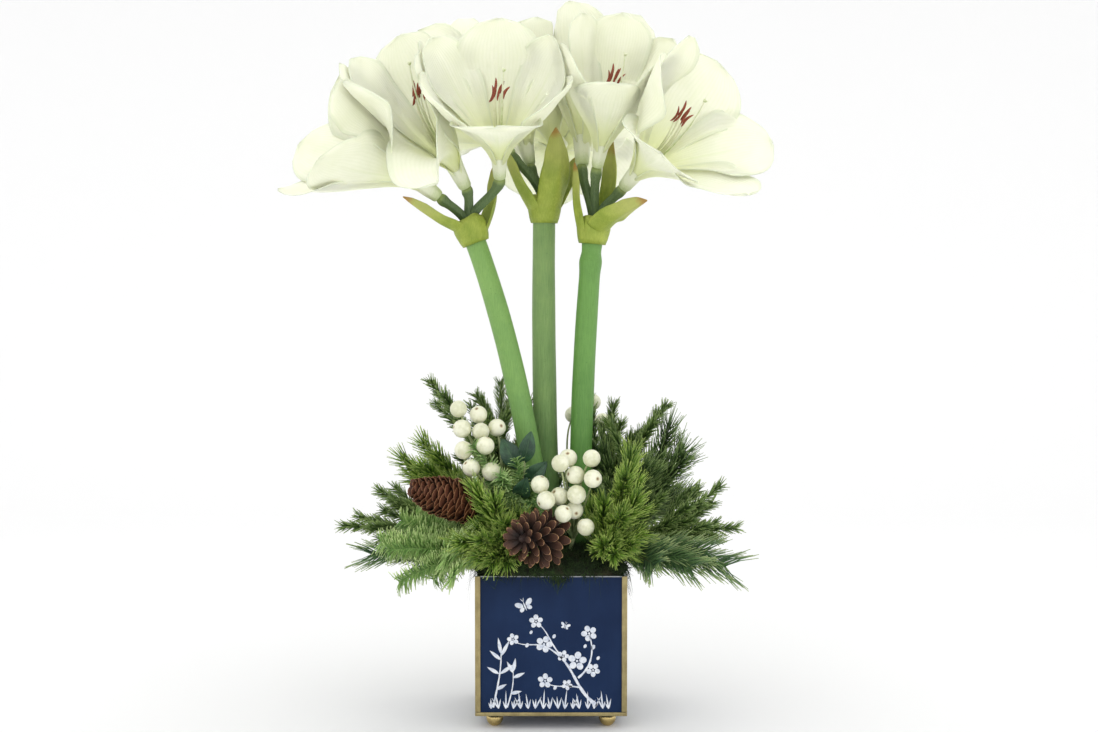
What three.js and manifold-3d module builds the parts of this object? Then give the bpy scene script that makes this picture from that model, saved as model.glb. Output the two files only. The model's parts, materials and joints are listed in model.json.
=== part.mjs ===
// A potted amaryllis arrangement, in millimetres, +Z up.
// Three thick scapes, each with a spathe and three funnel blooms, stand in a square metal planter on
// ball feet. Evergreen sprays, cream berries, two cones and a sprig of dark leaves ring their feet.
// Everything is laid out round the planter's upright centre line, with z = 0 on the table. At the end the
// whole group is moved so that the origin is the middle of the arrangement's footprint on the table.
import * as THREE from "three";
import { mergeVertices } from "three/addons/utils/BufferGeometryUtils.js";
import Module from "manifold-3d";

const wasm = await Module();
wasm.setup();

// ---------------------------------------------------------------- driving dimensions
const GAP = 0.3; // clear space between neighbouring pieces
const POT = { width: 152, base: 14, rim: 155, wall: 1.6, strip: 5.4, sheet: 1.2, band: 3.8 };
const FOOT = {
  inset: 19,
  sides: 10,
  profile: [[0, 0], [3.6, 0], [7.4, 3.8], [8.7, 8.4], [6.9, 13.7], [0, 13.7]],
};
const MOSS = { bed: 120, crown: 179, lap: 75.5, sides: 16, bumps: 30 };
const SCAPE_SLACK = 1.8; // between a scape and what is round it
const SPATHE = {
  rim: 17,
  root: 7,
  bract: [[0, 0.4], [0.35, 1], [0.65, 0.95], [0.88, 0.6]], // share of the way along, share of the width
};
const BLOOM = {
  neck: 6, floor: 27, middle: 88, petal: 0.9, outerHalf: 46, innerHalf: 43, lap: 3.4, sector: 0.51,
  joined: [0.2, 0.38, 0.54], free: [0.68, 0.82, 0.93], // rows where the tepals are one sheet, and are apart
  press: 1.3, give: 6, lean: 5, least: -0.4, // how far petals squeeze together between blooms
};
const STAMEN = { filament: 66, style: 96, spread: 9, anther: 12 };
const STALK = { radius: 2.2, slack: 0.7, sunk: 20, out: 12 };
const PICK = { wood: 1.3, bare: 14, band: 1.7, tries: 30 };

// ---------------------------------------------------------------- small tools
const V = (x, y, z) => new THREE.Vector3(x, y, z);
const UP = V(0, 0, 1);
const TURN = 2 * Math.PI;
const GOLDEN = Math.PI * (3 - Math.sqrt(5));
const rad = THREE.MathUtils.degToRad;
const lerp = THREE.MathUtils.lerp;
const along = (p, d, k) => p.clone().addScaledVector(d, k);
const bend = (a, b, c) => new THREE.QuadraticBezierCurve3(a, b, c);
const list = (count, make) => Array.from({ length: count }, (_, i) => make(i));

// A repeatable stream of numbers from 0 to 1.
function stream(seed) {
  let s = seed;
  return () => {
    s = (s * 16807) % 2147483647;
    return s / 2147483647;
  };
}

function solidOf(geometry) {
  const g = geometry.clone();
  g.deleteAttribute("normal");
  g.deleteAttribute("uv");
  const merged = mergeVertices(g, 1e-4);
  const vertProperties = merged.getAttribute("position").array;
  const triVerts = new Uint32Array(merged.index.array);
  return new wasm.Manifold(new wasm.Mesh({ numProp: 3, vertProperties, triVerts }));
}

function geometryOf(solid) {
  const mesh = solid.getMesh();
  const g = new THREE.BufferGeometry();
  g.setAttribute("position", new THREE.BufferAttribute(mesh.vertProperties, 3));
  g.setIndex(new THREE.BufferAttribute(mesh.triVerts, 1));
  g.computeVertexNormals();
  return g;
}

function closedSolid({ points, faces }) {
  const g = new THREE.BufferGeometry();
  const numbers = points.flatMap((p) => [p.x, p.y, p.z]);
  g.setAttribute("position", new THREE.Float32BufferAttribute(numbers, 3));
  g.setIndex(faces.flat());
  return solidOf(g);
}

const union = (solids) => wasm.Manifold.union(solids);

function box(width, depth, low, high) {
  const g = new THREE.BoxGeometry(width, depth, high - low);
  return solidOf(g.translate(0, 0, (low + high) / 2));
}

// Skins a row of rings, each counter-clockwise about the way the row runs. A ring of one point is a tip.
// Between rings k and k + 1, faces 2 (n k + i) and 2 (n k + i) + 1 lie on side i of n.
function skin(rings) {
  const faces = [];
  let start = 0;
  for (let k = 0; k + 1 < rings.length; k++) {
    const n = rings[k].length;
    const next = start + n;
    for (let i = 0; i < n; i++) {
      const j = (i + 1) % n;
      if (rings[k + 1].length === 1) faces.push([start + i, start + j, next]);
      else faces.push([start + i, start + j, next + j], [start + i, next + j, next + i]);
    }
    start = next;
  }
  for (let i = 1; i + 1 < rings[0].length; i++) faces.push([0, i + 1, i]);
  const last = rings[rings.length - 1].length;
  for (let i = 1; i + 1 < last; i++) faces.push([start, start + i, start + i + 1]);
  return { points: rings.flat(), faces };
}
const loft = (rings) => closedSolid(skin(rings));

// Lets a three-sided shoot grow out of one face of a skin. Its rings have three points, and its tip one.
function sprout(body, face, rings) {
  let base = body.faces[face];
  const sides = [];
  for (const points of rings) {
    const next = points.map((p) => body.points.push(p) - 1);
    for (let i = 0; i < 3; i++) {
      const j = (i + 1) % 3;
      if (next.length === 1) sides.push([base[i], base[j], next[0]]);
      else sides.push([base[i], base[j], next[j]], [base[i], next[j], next[i]]);
    }
    base = next;
  }
  if (base.length === 3) sides.push(base);
  body.faces[face] = sides.pop();
  body.faces.push(...sides);
}

function faceCentre(body, face) {
  return body.faces[face].reduce((sum, i) => sum.add(body.points[i]), V(0, 0, 0)).divideScalar(3);
}

function ring(centre, direction, radius, sides) {
  const q = new THREE.Quaternion().setFromUnitVectors(UP, direction);
  return list(sides, (i) => {
    const a = (TURN * i) / sides;
    return V(radius * Math.cos(a), radius * Math.sin(a), 0).applyQuaternion(q).add(centre);
  });
}

// Rings round a curve. A station is the share of the way along it, the radius there and a turn in degrees.
function ringsAlong(curve, stations, sides) {
  const first = curve.getTangentAt(0);
  const normal = (Math.abs(first.z) < 0.9 ? UP : V(1, 0, 0)).clone().cross(first);
  return stations.map(([share, radius, turn = 0]) => {
    const p = curve.getPointAt(share);
    const d = curve.getTangentAt(share);
    normal.addScaledVector(d, -normal.dot(d)).normalize();
    const side = d.clone().cross(normal);
    if (radius === 0) return [p];
    return list(sides, (i) => {
      const a = (TURN * i) / sides + rad(turn);
      return along(along(p, normal, radius * Math.cos(a)), side, radius * Math.sin(a));
    });
  });
}
const limb = (curve, radius, sides, steps) =>
  loft(ringsAlong(curve, list(steps + 1, (k) => [k / steps, radius(k / steps)]), sides));
const rod = (from, to, radius, sides) => limb(new THREE.LineCurve3(from, to), () => radius, sides, 1);

// A closed profile of [radius, height] points, counter-clockwise, spun round a centre line.
function spun(profile, centre, direction, sides) {
  const points = [...profile, profile[0]].map(([r, z]) => new THREE.Vector2(r, z));
  const q = new THREE.Quaternion().setFromUnitVectors(UP, direction);
  const g = new THREE.LatheGeometry(points, sides).rotateX(Math.PI / 2).applyQuaternion(q);
  return solidOf(g.translate(centre.x, centre.y, centre.z));
}

// One ring of a leaf: its two edges, and its middle, which lies keel lower and is twice thick through.
function leafRing(p, side, face, half, thick, keel) {
  const middle = along(p, face, -keel);
  const [left, right] = [along(p, side, half), along(p, side, -half)];
  return [left, along(middle, face, -thick), right, along(middle, face, thick)];
}

// ---------------------------------------------------------------- the list of pieces
const pieces = []; // { name, solid, material }
function add(name, solid, material) {
  pieces.push({ name, solid, material, box: solid.boundingBox() });
  return solid;
}

const meets = (a, b) => [0, 1, 2].every((k) => a.min[k] < b.max[k] && b.min[k] < a.max[k]);
function clear(solid, others = pieces) {
  const own = solid.boundingBox();
  return others.every((o) => !meets(own, o.box) || solid.intersect(o.solid).isEmpty());
}

function material(color, roughness, metalness = 0) {
  return new THREE.MeshStandardMaterial({ color, roughness, metalness });
}
const navy = material(0x1b2d52, 0.35);
const gold = material(0xb59a4e, 0.35, 0.9);
const foamGreen = material(0x4f5d3a, 1);
const mossGreen = material(0x2c3a1a, 1);
const scapeGreen = material(0x6fa052, 0.5);
const spatheGreen = material(0x96a83c, 0.6);
const pedicelGreen = material(0x4c6440, 0.6);
const petalWhite = material(0xf1f4e2, 0.6);
const antherRed = material(0x9c3526, 0.7);
const coneBrown = material(0x5e3522, 0.8);
const berryCream = material(0xe9ebcf, 0.5);
const leafGreen = material(0x23483a, 0.5);

// ---------------------------------------------------------------- layout of the flowers
const curveOf = (a, b, c) => bend(V(...a), V(...b), V(...c));
const SCAPES = {
  left: { curve: curveOf([4, -14, 70], [-18, -12, 330], [-80, -12, 496]), radius: 10.6 },
  centre: { curve: curveOf([4, 16, 70], [-10, 14, 300], [-7, 14, 518]), radius: 11.4 },
  right: { curve: curveOf([31, -2, 70], [26, -4, 300], [43, -4, 496]), radius: 10.6 },
};
for (const s of Object.values(SCAPES)) {
  s.top = s.curve.getPoint(1);
  s.way = s.curve.getTangent(1);
}

// Each bloom, named after the head that bears it: where its tube starts, the way it faces, how far its petals
// open, how far the lower ones sag, its turn about its own axis and its size.
const BLOOMS = [
  ["left_out", [-114, -24, 534], [-0.76, -0.3, 0.6], 0.7, 0.25, 10, 1],
  ["left_up", [-87, -18, 544], [-0.4, -0.42, 0.81], 0.55, 0.4, 30, 1],
  ["left_front", [-52, -28, 553], [0, -0.56, 0.83], 0.8, 0.6, 30, 0.95],
  ["centre_left", [-42, 20, 580], [-0.5, 0.6, 0.62], 0.75, 0.4, 20, 1],
  ["centre_up", [-22, 24, 570], [-0.2, 0.2, 0.95], 0.5, 0, 0, 0.9],
  ["centre_back", [4, 34, 580], [0.12, 0.88, 0.46], 0.9, 0.4, 50, 1],
  ["right_front", [47, -16, 565], [0.16, -0.42, 0.88], 0.5, 1.4, 30, 0.88],
  ["right_back", [32, 8, 568], [0.02, 0.42, 0.9], 0.6, 0.3, 15, 1],
  ["right_out", [74, -15, 544], [0.5, -0.6, 0.6], 1.1, 0.1, 20, 1],
].map(([name, start, way, open, sag, turn, size]) => {
  const base = V(...start);
  const faces = V(...way).normalize();
  const tilt = new THREE.Quaternion().setFromUnitVectors(UP, faces);
  const head = name.split("_")[0];
  return { name, head, base, faces, open, sag, turn, size, tilt, middle: along(base, faces, BLOOM.middle) };
});

// The part of the space between two blooms that each claims, one unless it is named here.
const CLAIMS = { left_front: 1.25, right_out: 1.1, left_up: 0.85 };
// The way from the second bloom to the first, for pairs where it is not the way between their middles.
const TURNED = [
  { pair: ["left_front", "left_up"], way: [0.9, -0.22, 0.32] },
  { pair: ["left_up", "left_out"], way: [0.75, -0.35, 0.5] },
];
// A tepal that hangs down in front: the bloom it belongs to, its number, how far it opens.
const FOLDED = { bloom: "left_up", k: 4, open: 2.3 };

// Bracts of each spathe: the turn round the scape where it leaves the collar, a point it bends over, its tip.
const SPATHES = {
  left: [
    { turn: 200, over: [-116, -30, 508], to: [-150, -30, 534], half: 15 },
    { turn: 30, over: [-52, 2, 534], to: [-58, 2, 570], half: 14 },
  ],
  centre: [
    { turn: 300, over: [14, -10, 566], to: [5, -4, 606], half: 19 },
    { turn: 200, over: [-42, 0, 556], to: [-50, -2, 586], half: 14 },
    { turn: 50, over: [22, 38, 552], to: [30, 46, 582], half: 14 },
  ],
  right: [
    { turn: 190, over: [20, -12, 536], to: [24, -10, 570], half: 13 },
    { turn: 40, over: [66, 10, 550], to: [64, 10, 594], half: 13 },
    { turn: 300, over: [64, -36, 514], to: [97, -36, 530], half: 16 },
  ],
};

// ---------------------------------------------------------------- stalks that stand in the moss
// azimuth is round the planter from +X towards the back, climb is above the horizon, both in degrees.
function stalk(azimuth, climb, start, rise) {
  const [a, c] = [rad(azimuth), rad(climb)];
  const way = V(Math.cos(a) * Math.cos(c), Math.sin(a) * Math.cos(c), Math.sin(c));
  const mouth = V(start * Math.cos(a), start * Math.sin(a), rise);
  return { way, root: along(mouth, way, -STALK.sunk), fork: along(mouth, way, STALK.out) };
}
// The kinds of needle.
const NEEDLES = {
  fir: { length: 23, spread: 50, flat: 0.35, pitch: 23, thin: 0.04, color: 0x24462c },
  pine: { length: 21, spread: 42, flat: 1, pitch: 23, thin: 0.04, color: 0x4a6f24 },
  sprig: { length: 14, spread: 34, flat: 1, pitch: 20, thin: 0.04, color: 0x3a5a30 },
  frost: { length: 18, spread: 46, flat: 0.7, pitch: 23, thin: 0.04, color: 0x6f9a6c },
};
// Evergreen picks: the kind of needle, the stalk, and the tips that its branchlets reach.
const PICKS = [
  ["left_low", "fir", [190, 8, 64, 167], [[-138, -22, 160], [-182, -44, 172], [-120, 22, 158]]],
  ["left_sprig", "sprig", [172, 22, 56, 171], [[-214, -8, 195], [-180, 18, 228]]],
  ["left_frost", "frost", [216, 22, 62, 168], [[-150, -90, 152], [-168, -82, 190], [-150, -62, 209]]],
  ["left_high", "pine", [160, 40, 46, 175], [[-154, 8, 262], [-134, 30, 277]]],
  ["left_tall", "sprig", [140, 62, 36, 178], [[-127, 36, 342], [-54, 46, 340]]],
  ["front_left", "pine", [238, 32, 56, 170], [[-74, -84, 244], [-90, -104, 194], [-58, -106, 174]]],
  ["front_frost", "frost", [252, 62, 46, 175], [[-36, -60, 270], [-79, -58, 284]]],
  ["front_right", "pine", [312, 32, 58, 169], [[80, -74, 278], [84, -94, 236], [62, -106, 182]]],
  ["right_low", "fir", [336, 14, 64, 167], [[174, -70, 164], [138, -84, 166], [100, -98, 170]]],
  ["right_sprig", "sprig", [352, 22, 64, 168], [[188, -30, 197], [174, -8, 236]]],
  ["right_high", "fir", [12, 46, 60, 171], [[122, 0, 296], [136, -20, 266]]],
  ["right_tall", "sprig", [36, 60, 42, 177], [[121, 22, 318], [66, 44, 317]]],
  ["back_right", "pine", [46, 24, 60, 168], [[150, 60, 222], [110, 104, 190], [70, 110, 246]]],
  ["back_middle", "fir", [92, 22, 60, 168], [[20, 150, 176], [-28, 128, 236], [52, 118, 156]]],
  ["back_left", "frost", [134, 22, 60, 168], [[-136, 92, 196], [-92, 124, 166], [-84, 96, 258]]],
].map(([name, kind, at, tips]) => ({ name, kind, stalk: stalk(...at), tips }));

// Berry sprigs: the stalk, then each berry's centre.
const BERRY = 9;
const BERRIES = {
  front: {
    at: [300, 64, 40, 177],
    centres: [
      [9, -92, 270], [17, -72, 273], [24, -82, 257], [40, -84, 274], [41, -94, 255], [-11, -84, 248],
      [-5, -96, 234], [8, -80, 236], [25, -92, 239], [12, -98, 221], [23, -80, 222], [34, -92, 207],
    ],
  },
  left: {
    at: [206, 58, 44, 176],
    centres: [
      [-94, -34, 319], [-74, -30, 313], [-90, -46, 300], [-71, -44, 297], [-55, -34, 300],
      [-66, -58, 284], [-88, -54, 279], [-80, -60, 262], [-60, -60, 258],
    ],
  },
  back: {
    at: [70, 56, 42, 176],
    centres: [[45, 62, 319], [24, 78, 304], [56, 82, 296], [34, 92, 276]],
  },
};
for (const b of Object.values(BERRIES)) b.stalk = stalk(...b.at);

const CONES = {
  long: { at: [222, 40, 54, 171], base: [-72, -58, 221], faces: [-0.9, -0.37, 0.33], length: 78, radius: 19 },
  open: { at: [262, 24, 58, 169], base: [-6, -80, 195], faces: [-0.5, -0.86, 0.1], length: 50, radius: 20 },
};
for (const c of Object.values(CONES)) {
  c.stalk = stalk(...c.at);
  c.base = V(...c.base);
  c.faces = V(...c.faces).normalize();
}

const SPRIG = {
  at: [230, 70, 42, 176],
  leaves: [
    { from: [-27, -50, 266], to: [-20, -52, 298], half: 8 },
    { from: [-33, -50, 260], to: [-50, -48, 290], half: 10 },
    { from: [-25, -52, 244], to: [-4, -58, 268], half: 9 },
    { from: [-31, -56, 232], to: [-24, -74, 254], half: 9 },
  ],
};
SPRIG.stalk = stalk(...SPRIG.at);

// ---------------------------------------------------------------- the planter
const CORNERS = { back_right: [1, 1], back_left: [-1, 1], front_left: [-1, -1], front_right: [1, -1] };
const POT_OUTER = POT.width - 2 * (POT.sheet + GAP);
const POT_INNER = POT_OUTER - 2 * POT.wall;
const POT_FLOOR = POT.base + POT.wall;

function planter() {
  const hollow = box(POT_INNER, POT_INNER, POT_FLOOR, POT.rim + 1);
  add("planter_body", box(POT_OUTER, POT_OUTER, POT.base, POT.rim).subtract(hollow), navy);

  const reach = POT.width / 2;
  const low = POT.base + POT.band + GAP;
  for (const [where, [sx, sy]] of Object.entries(CORNERS)) {
    // A leg of the angle strip, measured inwards from the planter's corner along X and Y.
    const leg = (lx, ly) =>
      box(lx, ly, low, POT.rim).translate(sx * (reach - lx / 2), sy * (reach - ly / 2), 0);
    add("corner_strip_" + where, leg(POT.strip, POT.sheet).add(leg(POT.sheet, POT.strip)), gold);
    const inset = reach - FOOT.inset;
    add("foot_" + where, spun(FOOT.profile, V(sx * inset, sy * inset, 0), UP, FOOT.sides), gold);
  }

  const band = box(POT.width, POT.width, POT.base, POT.base + POT.band);
  const opening = POT_OUTER + 2 * GAP;
  add("base_band", band.subtract(box(opening, opening, 0, POT.rim)), gold);
}

// ---------------------------------------------------------------- foam and moss
// A ring between a circle (power 2) and a square (high powers), with its points moved about by the jitter.
function roundedSquare(half, z, power, jitter, draw) {
  return list(MOSS.sides, (i) => {
    const a = (TURN * (i + 0.5)) / MOSS.sides;
    const [c, s] = [Math.cos(a), Math.sin(a)];
    const r = (half * (1 - jitter * draw())) / (Math.abs(c) ** power + Math.abs(s) ** power) ** (1 / power);
    return V(r * c, r * s, z + MOSS.bumps * jitter * (draw() - 0.5));
  });
}

// The foam and the moss have a hole for every stem that stands in them.
function bed() {
  const half = POT_INNER / 2 - GAP;
  const holes = Object.values(SCAPES).map((s) => limb(s.curve, () => s.radius + SCAPE_SLACK, 8, 5));
  const standing = [...PICKS, ...Object.values(BERRIES), ...Object.values(CONES), SPRIG];
  for (const { stalk: s } of standing)
    holes.push(rod(along(s.root, s.way, -GAP), along(s.fork, s.way, 20), STALK.radius + STALK.slack, 3));
  const cut = (solid) => holes.reduce((left, h) => left.subtract(h), solid);
  add("foam_block", cut(box(2 * half, 2 * half, POT_FLOOR + GAP, MOSS.bed)), foamGreen);

  const draw = stream(7);
  const mound = loft([
    roundedSquare(half, MOSS.bed + GAP, 8, 0, draw),
    roundedSquare(half, POT.rim + GAP, 8, 0, draw),
    roundedSquare(MOSS.lap, POT.rim + 2.5, 6, 0, draw),
    roundedSquare(72, 165, 4, 0.06, draw),
    roundedSquare(60, 173, 3, 0.08, draw),
    roundedSquare(38, MOSS.crown, 2, 0.08, draw),
  ]);
  add("moss_bed", cut(mound), mossGreen);
}

// ---------------------------------------------------------------- scapes, spathes and flower stalks
function scapeRadius(name, t) {
  const crease = name === "right" ? Math.exp(-(((t - 0.93) / 0.025) ** 2)) : 0;
  return SCAPES[name].radius + 0.9 * Math.sin(Math.PI * t) + crease;
}

function pedicel(bloom) {
  const { top, way } = SCAPES[bloom.head];
  const root = along(top, way, 4);
  const end = along(bloom.base, bloom.faces, -GAP);
  const reach = root.distanceTo(end);
  const path = new THREE.CubicBezierCurve3(
    root,
    along(root, way, 0.4 * reach),
    along(end, bloom.faces, -0.35 * reach),
    end,
  );
  return limb(path, (t) => lerp(5.4, 4.6, t), 5, 4);
}

// A spathe bract rises from the collar at a turn round the scape, bends over one point and ends at its tip.
function bract(head, { turn, over, to, half }) {
  const out = V(Math.cos(rad(turn)), Math.sin(rad(turn)), 0);
  const from = along(along(head.top, head.way, SPATHE.root), out, SPATHE.rim - 2.4);
  const tangent = head.way.clone().cross(out);
  const path = bend(from, V(...over), V(...to));
  const rings = SPATHE.bract.map(([t, share]) => {
    const d = path.getTangent(t);
    const side = along(tangent, d, -tangent.dot(d)).normalize();
    const face = side.clone().cross(d).normalize();
    return leafRing(path.getPoint(t), side, face, half * share, 0.7, -0.35 * half * share);
  });
  return loft([...rings, [path.getPoint(1)]]);
}

function heads() {
  for (const [name, head] of Object.entries(SCAPES)) {
    add("scape_" + name, limb(head.curve, (t) => scapeRadius(name, t), 10, 7), scapeGreen);
    const inner = head.radius + SCAPE_SLACK;
    const collar = [
      [inner + 1.2, -9],
      [SPATHE.rim, 8],
      [SPATHE.rim - 1.2, 17],
      [SPATHE.rim - 2.4, 16.6],
      [SPATHE.rim - 1.4, 8],
      [inner, -8.6],
    ];
    const cup = spun(collar, head.top, head.way, 9);
    add("spathe_" + name, union([cup, ...SPATHES[name].map((b) => bract(head, b))]), spatheGreen);
    const boss = rod(along(head.top, head.way, GAP), along(head.top, head.way, 6), 8, 8);
    const borne = BLOOMS.filter((b) => b.head === name);
    add("pedicels_" + name, union([boss, ...borne.map(pedicel)]), pedicelGreen);
  }
}

// ---------------------------------------------------------------- blooms
// Half a tepal's width, as a share of its widest.
function tepalShape(t) {
  if (t < 0.62) return 0.22 + 0.78 * Math.sin((Math.PI / 2) * Math.max(0, t / 0.62)) ** 1.3;
  return Math.max(0.004, 1 - Math.min(1, (t - 0.62) / 0.38) ** 2.8) ** 0.5;
}

// A tepal's middle line: the distance r from the bloom's axis, the height z along it, and its slope.
function tepalLine(open, outer, t) {
  const o = outer ? BLOOM.lap : 0;
  const r = [4 + o / 2, 12 + 6 * open + o, 52 + 22 * open + o, 48 + 40 * open + o];
  const z = [14, 66, 88 - 6 * open, 168 - 40 * Math.abs(open)];
  const u = 1 - t;
  const at = (c) => u * u * u * c[0] + 3 * u * u * t * c[1] + 3 * u * t * t * c[2] + t * t * t * c[3];
  const slope = (c) => u * u * (c[1] - c[0]) + 2 * u * t * (c[2] - c[1]) + t * t * (c[3] - c[2]);
  const length = Math.hypot(slope(r), slope(z));
  return { r: at(r), z: at(z), dr: slope(r) / length, dz: slope(z) / length };
}

// A point of tepal k's middle surface. Up to the last joined row the tepals make one trumpet: there each
// fills its sixth of it. Beyond, a tepal has its own width, and stays inside its sixth.
function tepalPoint(bloom, k, open, s, t) {
  const m = tepalLine(open[k], k % 2, t);
  let [x, y, z] = [0, 0, 0];
  if (t <= BLOOM.joined.at(-1)) {
    const n = (k + (s < 0 ? 5 : 1)) % 6;
    const next = tepalLine(open[n], n % 2, t);
    const r = lerp(m.r, (m.r + next.r) / 2, s * s);
    [x, y, z] = [r * Math.cos(s * rad(30)), r * Math.sin(s * rad(30)), lerp(m.z, (m.z + next.z) / 2, s * s)];
  } else {
    const w = Math.min((k % 2 ? BLOOM.outerHalf : BLOOM.innerHalf) * tepalShape(t), BLOOM.sector * m.r);
    const bow = m.r * (1.6 + 1.2 * Math.max(0, t - 0.6));
    const lift = bow * (1 - Math.cos((s * w) / bow));
    [x, y, z] = [m.r - m.dz * lift, bow * Math.sin((s * w) / bow), m.z + m.dr * lift];
  }
  const a = rad(60 * k + bloom.turn);
  return V(x * Math.cos(a) - y * Math.sin(a), x * Math.sin(a) + y * Math.cos(a), z)
    .multiplyScalar(bloom.size)
    .applyQuaternion(bloom.tilt)
    .add(bloom.base);
}

// The plane between two blooms: a point on it, and the way from it towards the first of them.
function divide(bloom, other) {
  const turned = TURNED.find(({ pair }) => pair.includes(bloom.name) && pair.includes(other.name));
  if (turned) {
    const sign = bloom.name === turned.pair[0] ? 1 : -1;
    const way = V(...turned.way).normalize().multiplyScalar(sign);
    return { point: bloom.base.clone().lerp(other.base, 0.5), way };
  }
  const [claim, rival] = [CLAIMS[bloom.name] ?? 1, CLAIMS[other.name] ?? 1];
  const point = bloom.middle.clone().lerp(other.middle, claim / (claim + rival));
  return { point, way: bloom.middle.clone().sub(other.middle).normalize() };
}

// Petals of neighbouring blooms press against each other at the plane between them.
function pressed(p, bloom) {
  for (const other of BLOOMS) {
    if (other === bloom) continue;
    const { point, way } = divide(bloom, other);
    const d = p.clone().sub(point).dot(way);
    const soft = BLOOM.press + BLOOM.give;
    const back = BLOOM.press + BLOOM.give * Math.exp((Math.min(d, soft) - soft) / BLOOM.give) - d;
    if (d < soft) p = along(p, way, back);
  }
  return p;
}

// How far each tepal can open before it leans on a neighbouring bloom.
function openness(bloom) {
  const open = list(6, (k) => {
    const a = rad(60 * k + bloom.turn);
    const down = -V(Math.cos(a), Math.sin(a), 0).applyQuaternion(bloom.tilt).z;
    return bloom.open + bloom.sag * down + 0.06 * Math.sin(2.4 * k + bloom.turn);
  });
  const leans = (k) =>
    [-0.8, 0, 0.8].some((s) =>
      [0.75, 0.9, 1].some((t) => {
        const p = tepalPoint(bloom, k, open, s, t);
        return pressed(p, bloom).distanceTo(p) > BLOOM.lean;
      }),
    );
  const folded = bloom.name === FOLDED.bloom ? FOLDED.k : -1;
  if (folded >= 0) open[folded] = FOLDED.open;
  for (let k = 0; k < 6; k++) while (k !== folded && open[k] > BLOOM.least && leans(k)) open[k] -= 0.1;
  return open;
}

// One closed skin: the tube, the trumpet's two faces, and six tepals that are free towards their tips.
function bloomSolid(bloom) {
  const open = openness(bloom);
  const at = (k, s, t, side) => {
    const point = (a, b) => pressed(tepalPoint(bloom, k, open, a, b), bloom);
    const step = 1e-3;
    const across = point(s + step, t).sub(point(s - step, t));
    const up = point(s, t + step).sub(point(s, t - step));
    return along(point(s, t), across.cross(up).normalize(), (side * BLOOM.petal) / 2);
  };
  const points = [];
  const faces = [];
  const put = (p) => points.push(p) - 1;
  // Twelve columns: a tepal's middle at the even ones, a seam at the odd ones.
  const sheetRing = (t, side) =>
    list(12, (c) => {
      const k = Math.floor(c / 2);
      if (c % 2 === 0) return put(at(k, 0, t, side));
      const [p, q] = [at(k, 0.999, t, side), at((k + 1) % 6, -0.999, t, side)];
      return put(p.add(q).multiplyScalar(0.5));
    });
  const round = (z, r) => {
    const turn = bloom.turn;
    return list(12, (c) => {
      const a = rad(30 * c + turn);
      return put(V(r * Math.cos(a), r * Math.sin(a), z).applyQuaternion(bloom.tilt).add(bloom.base));
    });
  };
  const bridge = (low, high, flip) => {
    for (let i = 0; i < low.length; i++) {
      const j = (i + 1) % low.length;
      const quads = [[low[i], low[j], high[j]], [low[i], high[j], high[i]]];
      faces.push(...quads.map((f) => (flip ? f.reverse() : f)));
    }
  };
  const outside = [round(0, BLOOM.neck), ...BLOOM.joined.map((t) => sheetRing(t, 1))];
  const inside = [round(BLOOM.floor, 7), ...BLOOM.joined.map((t) => sheetRing(t, -1))];
  for (let i = 1; i < 11; i++) faces.push([outside[0][0], outside[0][i + 1], outside[0][i]]);
  outside.slice(1).forEach((high, i) => bridge(outside[i], high, false));
  inside.slice(1).forEach((high, i) => bridge(inside[i], high, true));
  const centre = put(along(bloom.base, bloom.faces, BLOOM.floor));
  for (let i = 0; i < 12; i++) faces.push([inside[0][i], inside[0][(i + 1) % 12], centre]);

  for (let k = 0; k < 6; k++) {
    const columns = [(2 * k + 11) % 12, 2 * k, 2 * k + 1];
    let [front, back] = [inside.at(-1), outside.at(-1)].map((r) => columns.map((c) => r[c]));
    for (const t of BLOOM.free) {
      const [nextFront, nextBack] = [-1, 1].map((side) => [-1, 0, 1].map((s) => put(at(k, s, t, side))));
      for (let i = 0; i < 2; i++) {
        faces.push([back[i], back[i + 1], nextBack[i + 1]], [back[i], nextBack[i + 1], nextBack[i]]);
        faces.push([front[i + 1], front[i], nextFront[i + 1]], [nextFront[i + 1], front[i], nextFront[i]]);
      }
      faces.push([back[0], nextBack[0], nextFront[0]], [back[0], nextFront[0], front[0]]);
      faces.push([front[2], nextFront[2], nextBack[2]], [front[2], nextBack[2], back[2]]);
      [front, back] = [nextFront, nextBack];
    }
    const tip = put(at(k, 0, 1, 0));
    for (let i = 0; i < 2; i++) faces.push([back[i], back[i + 1], tip], [front[i + 1], front[i], tip]);
    faces.push([back[0], tip, front[0]], [front[2], tip, back[2]]);
  }
  return closedSolid({ points, faces });
}

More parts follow.
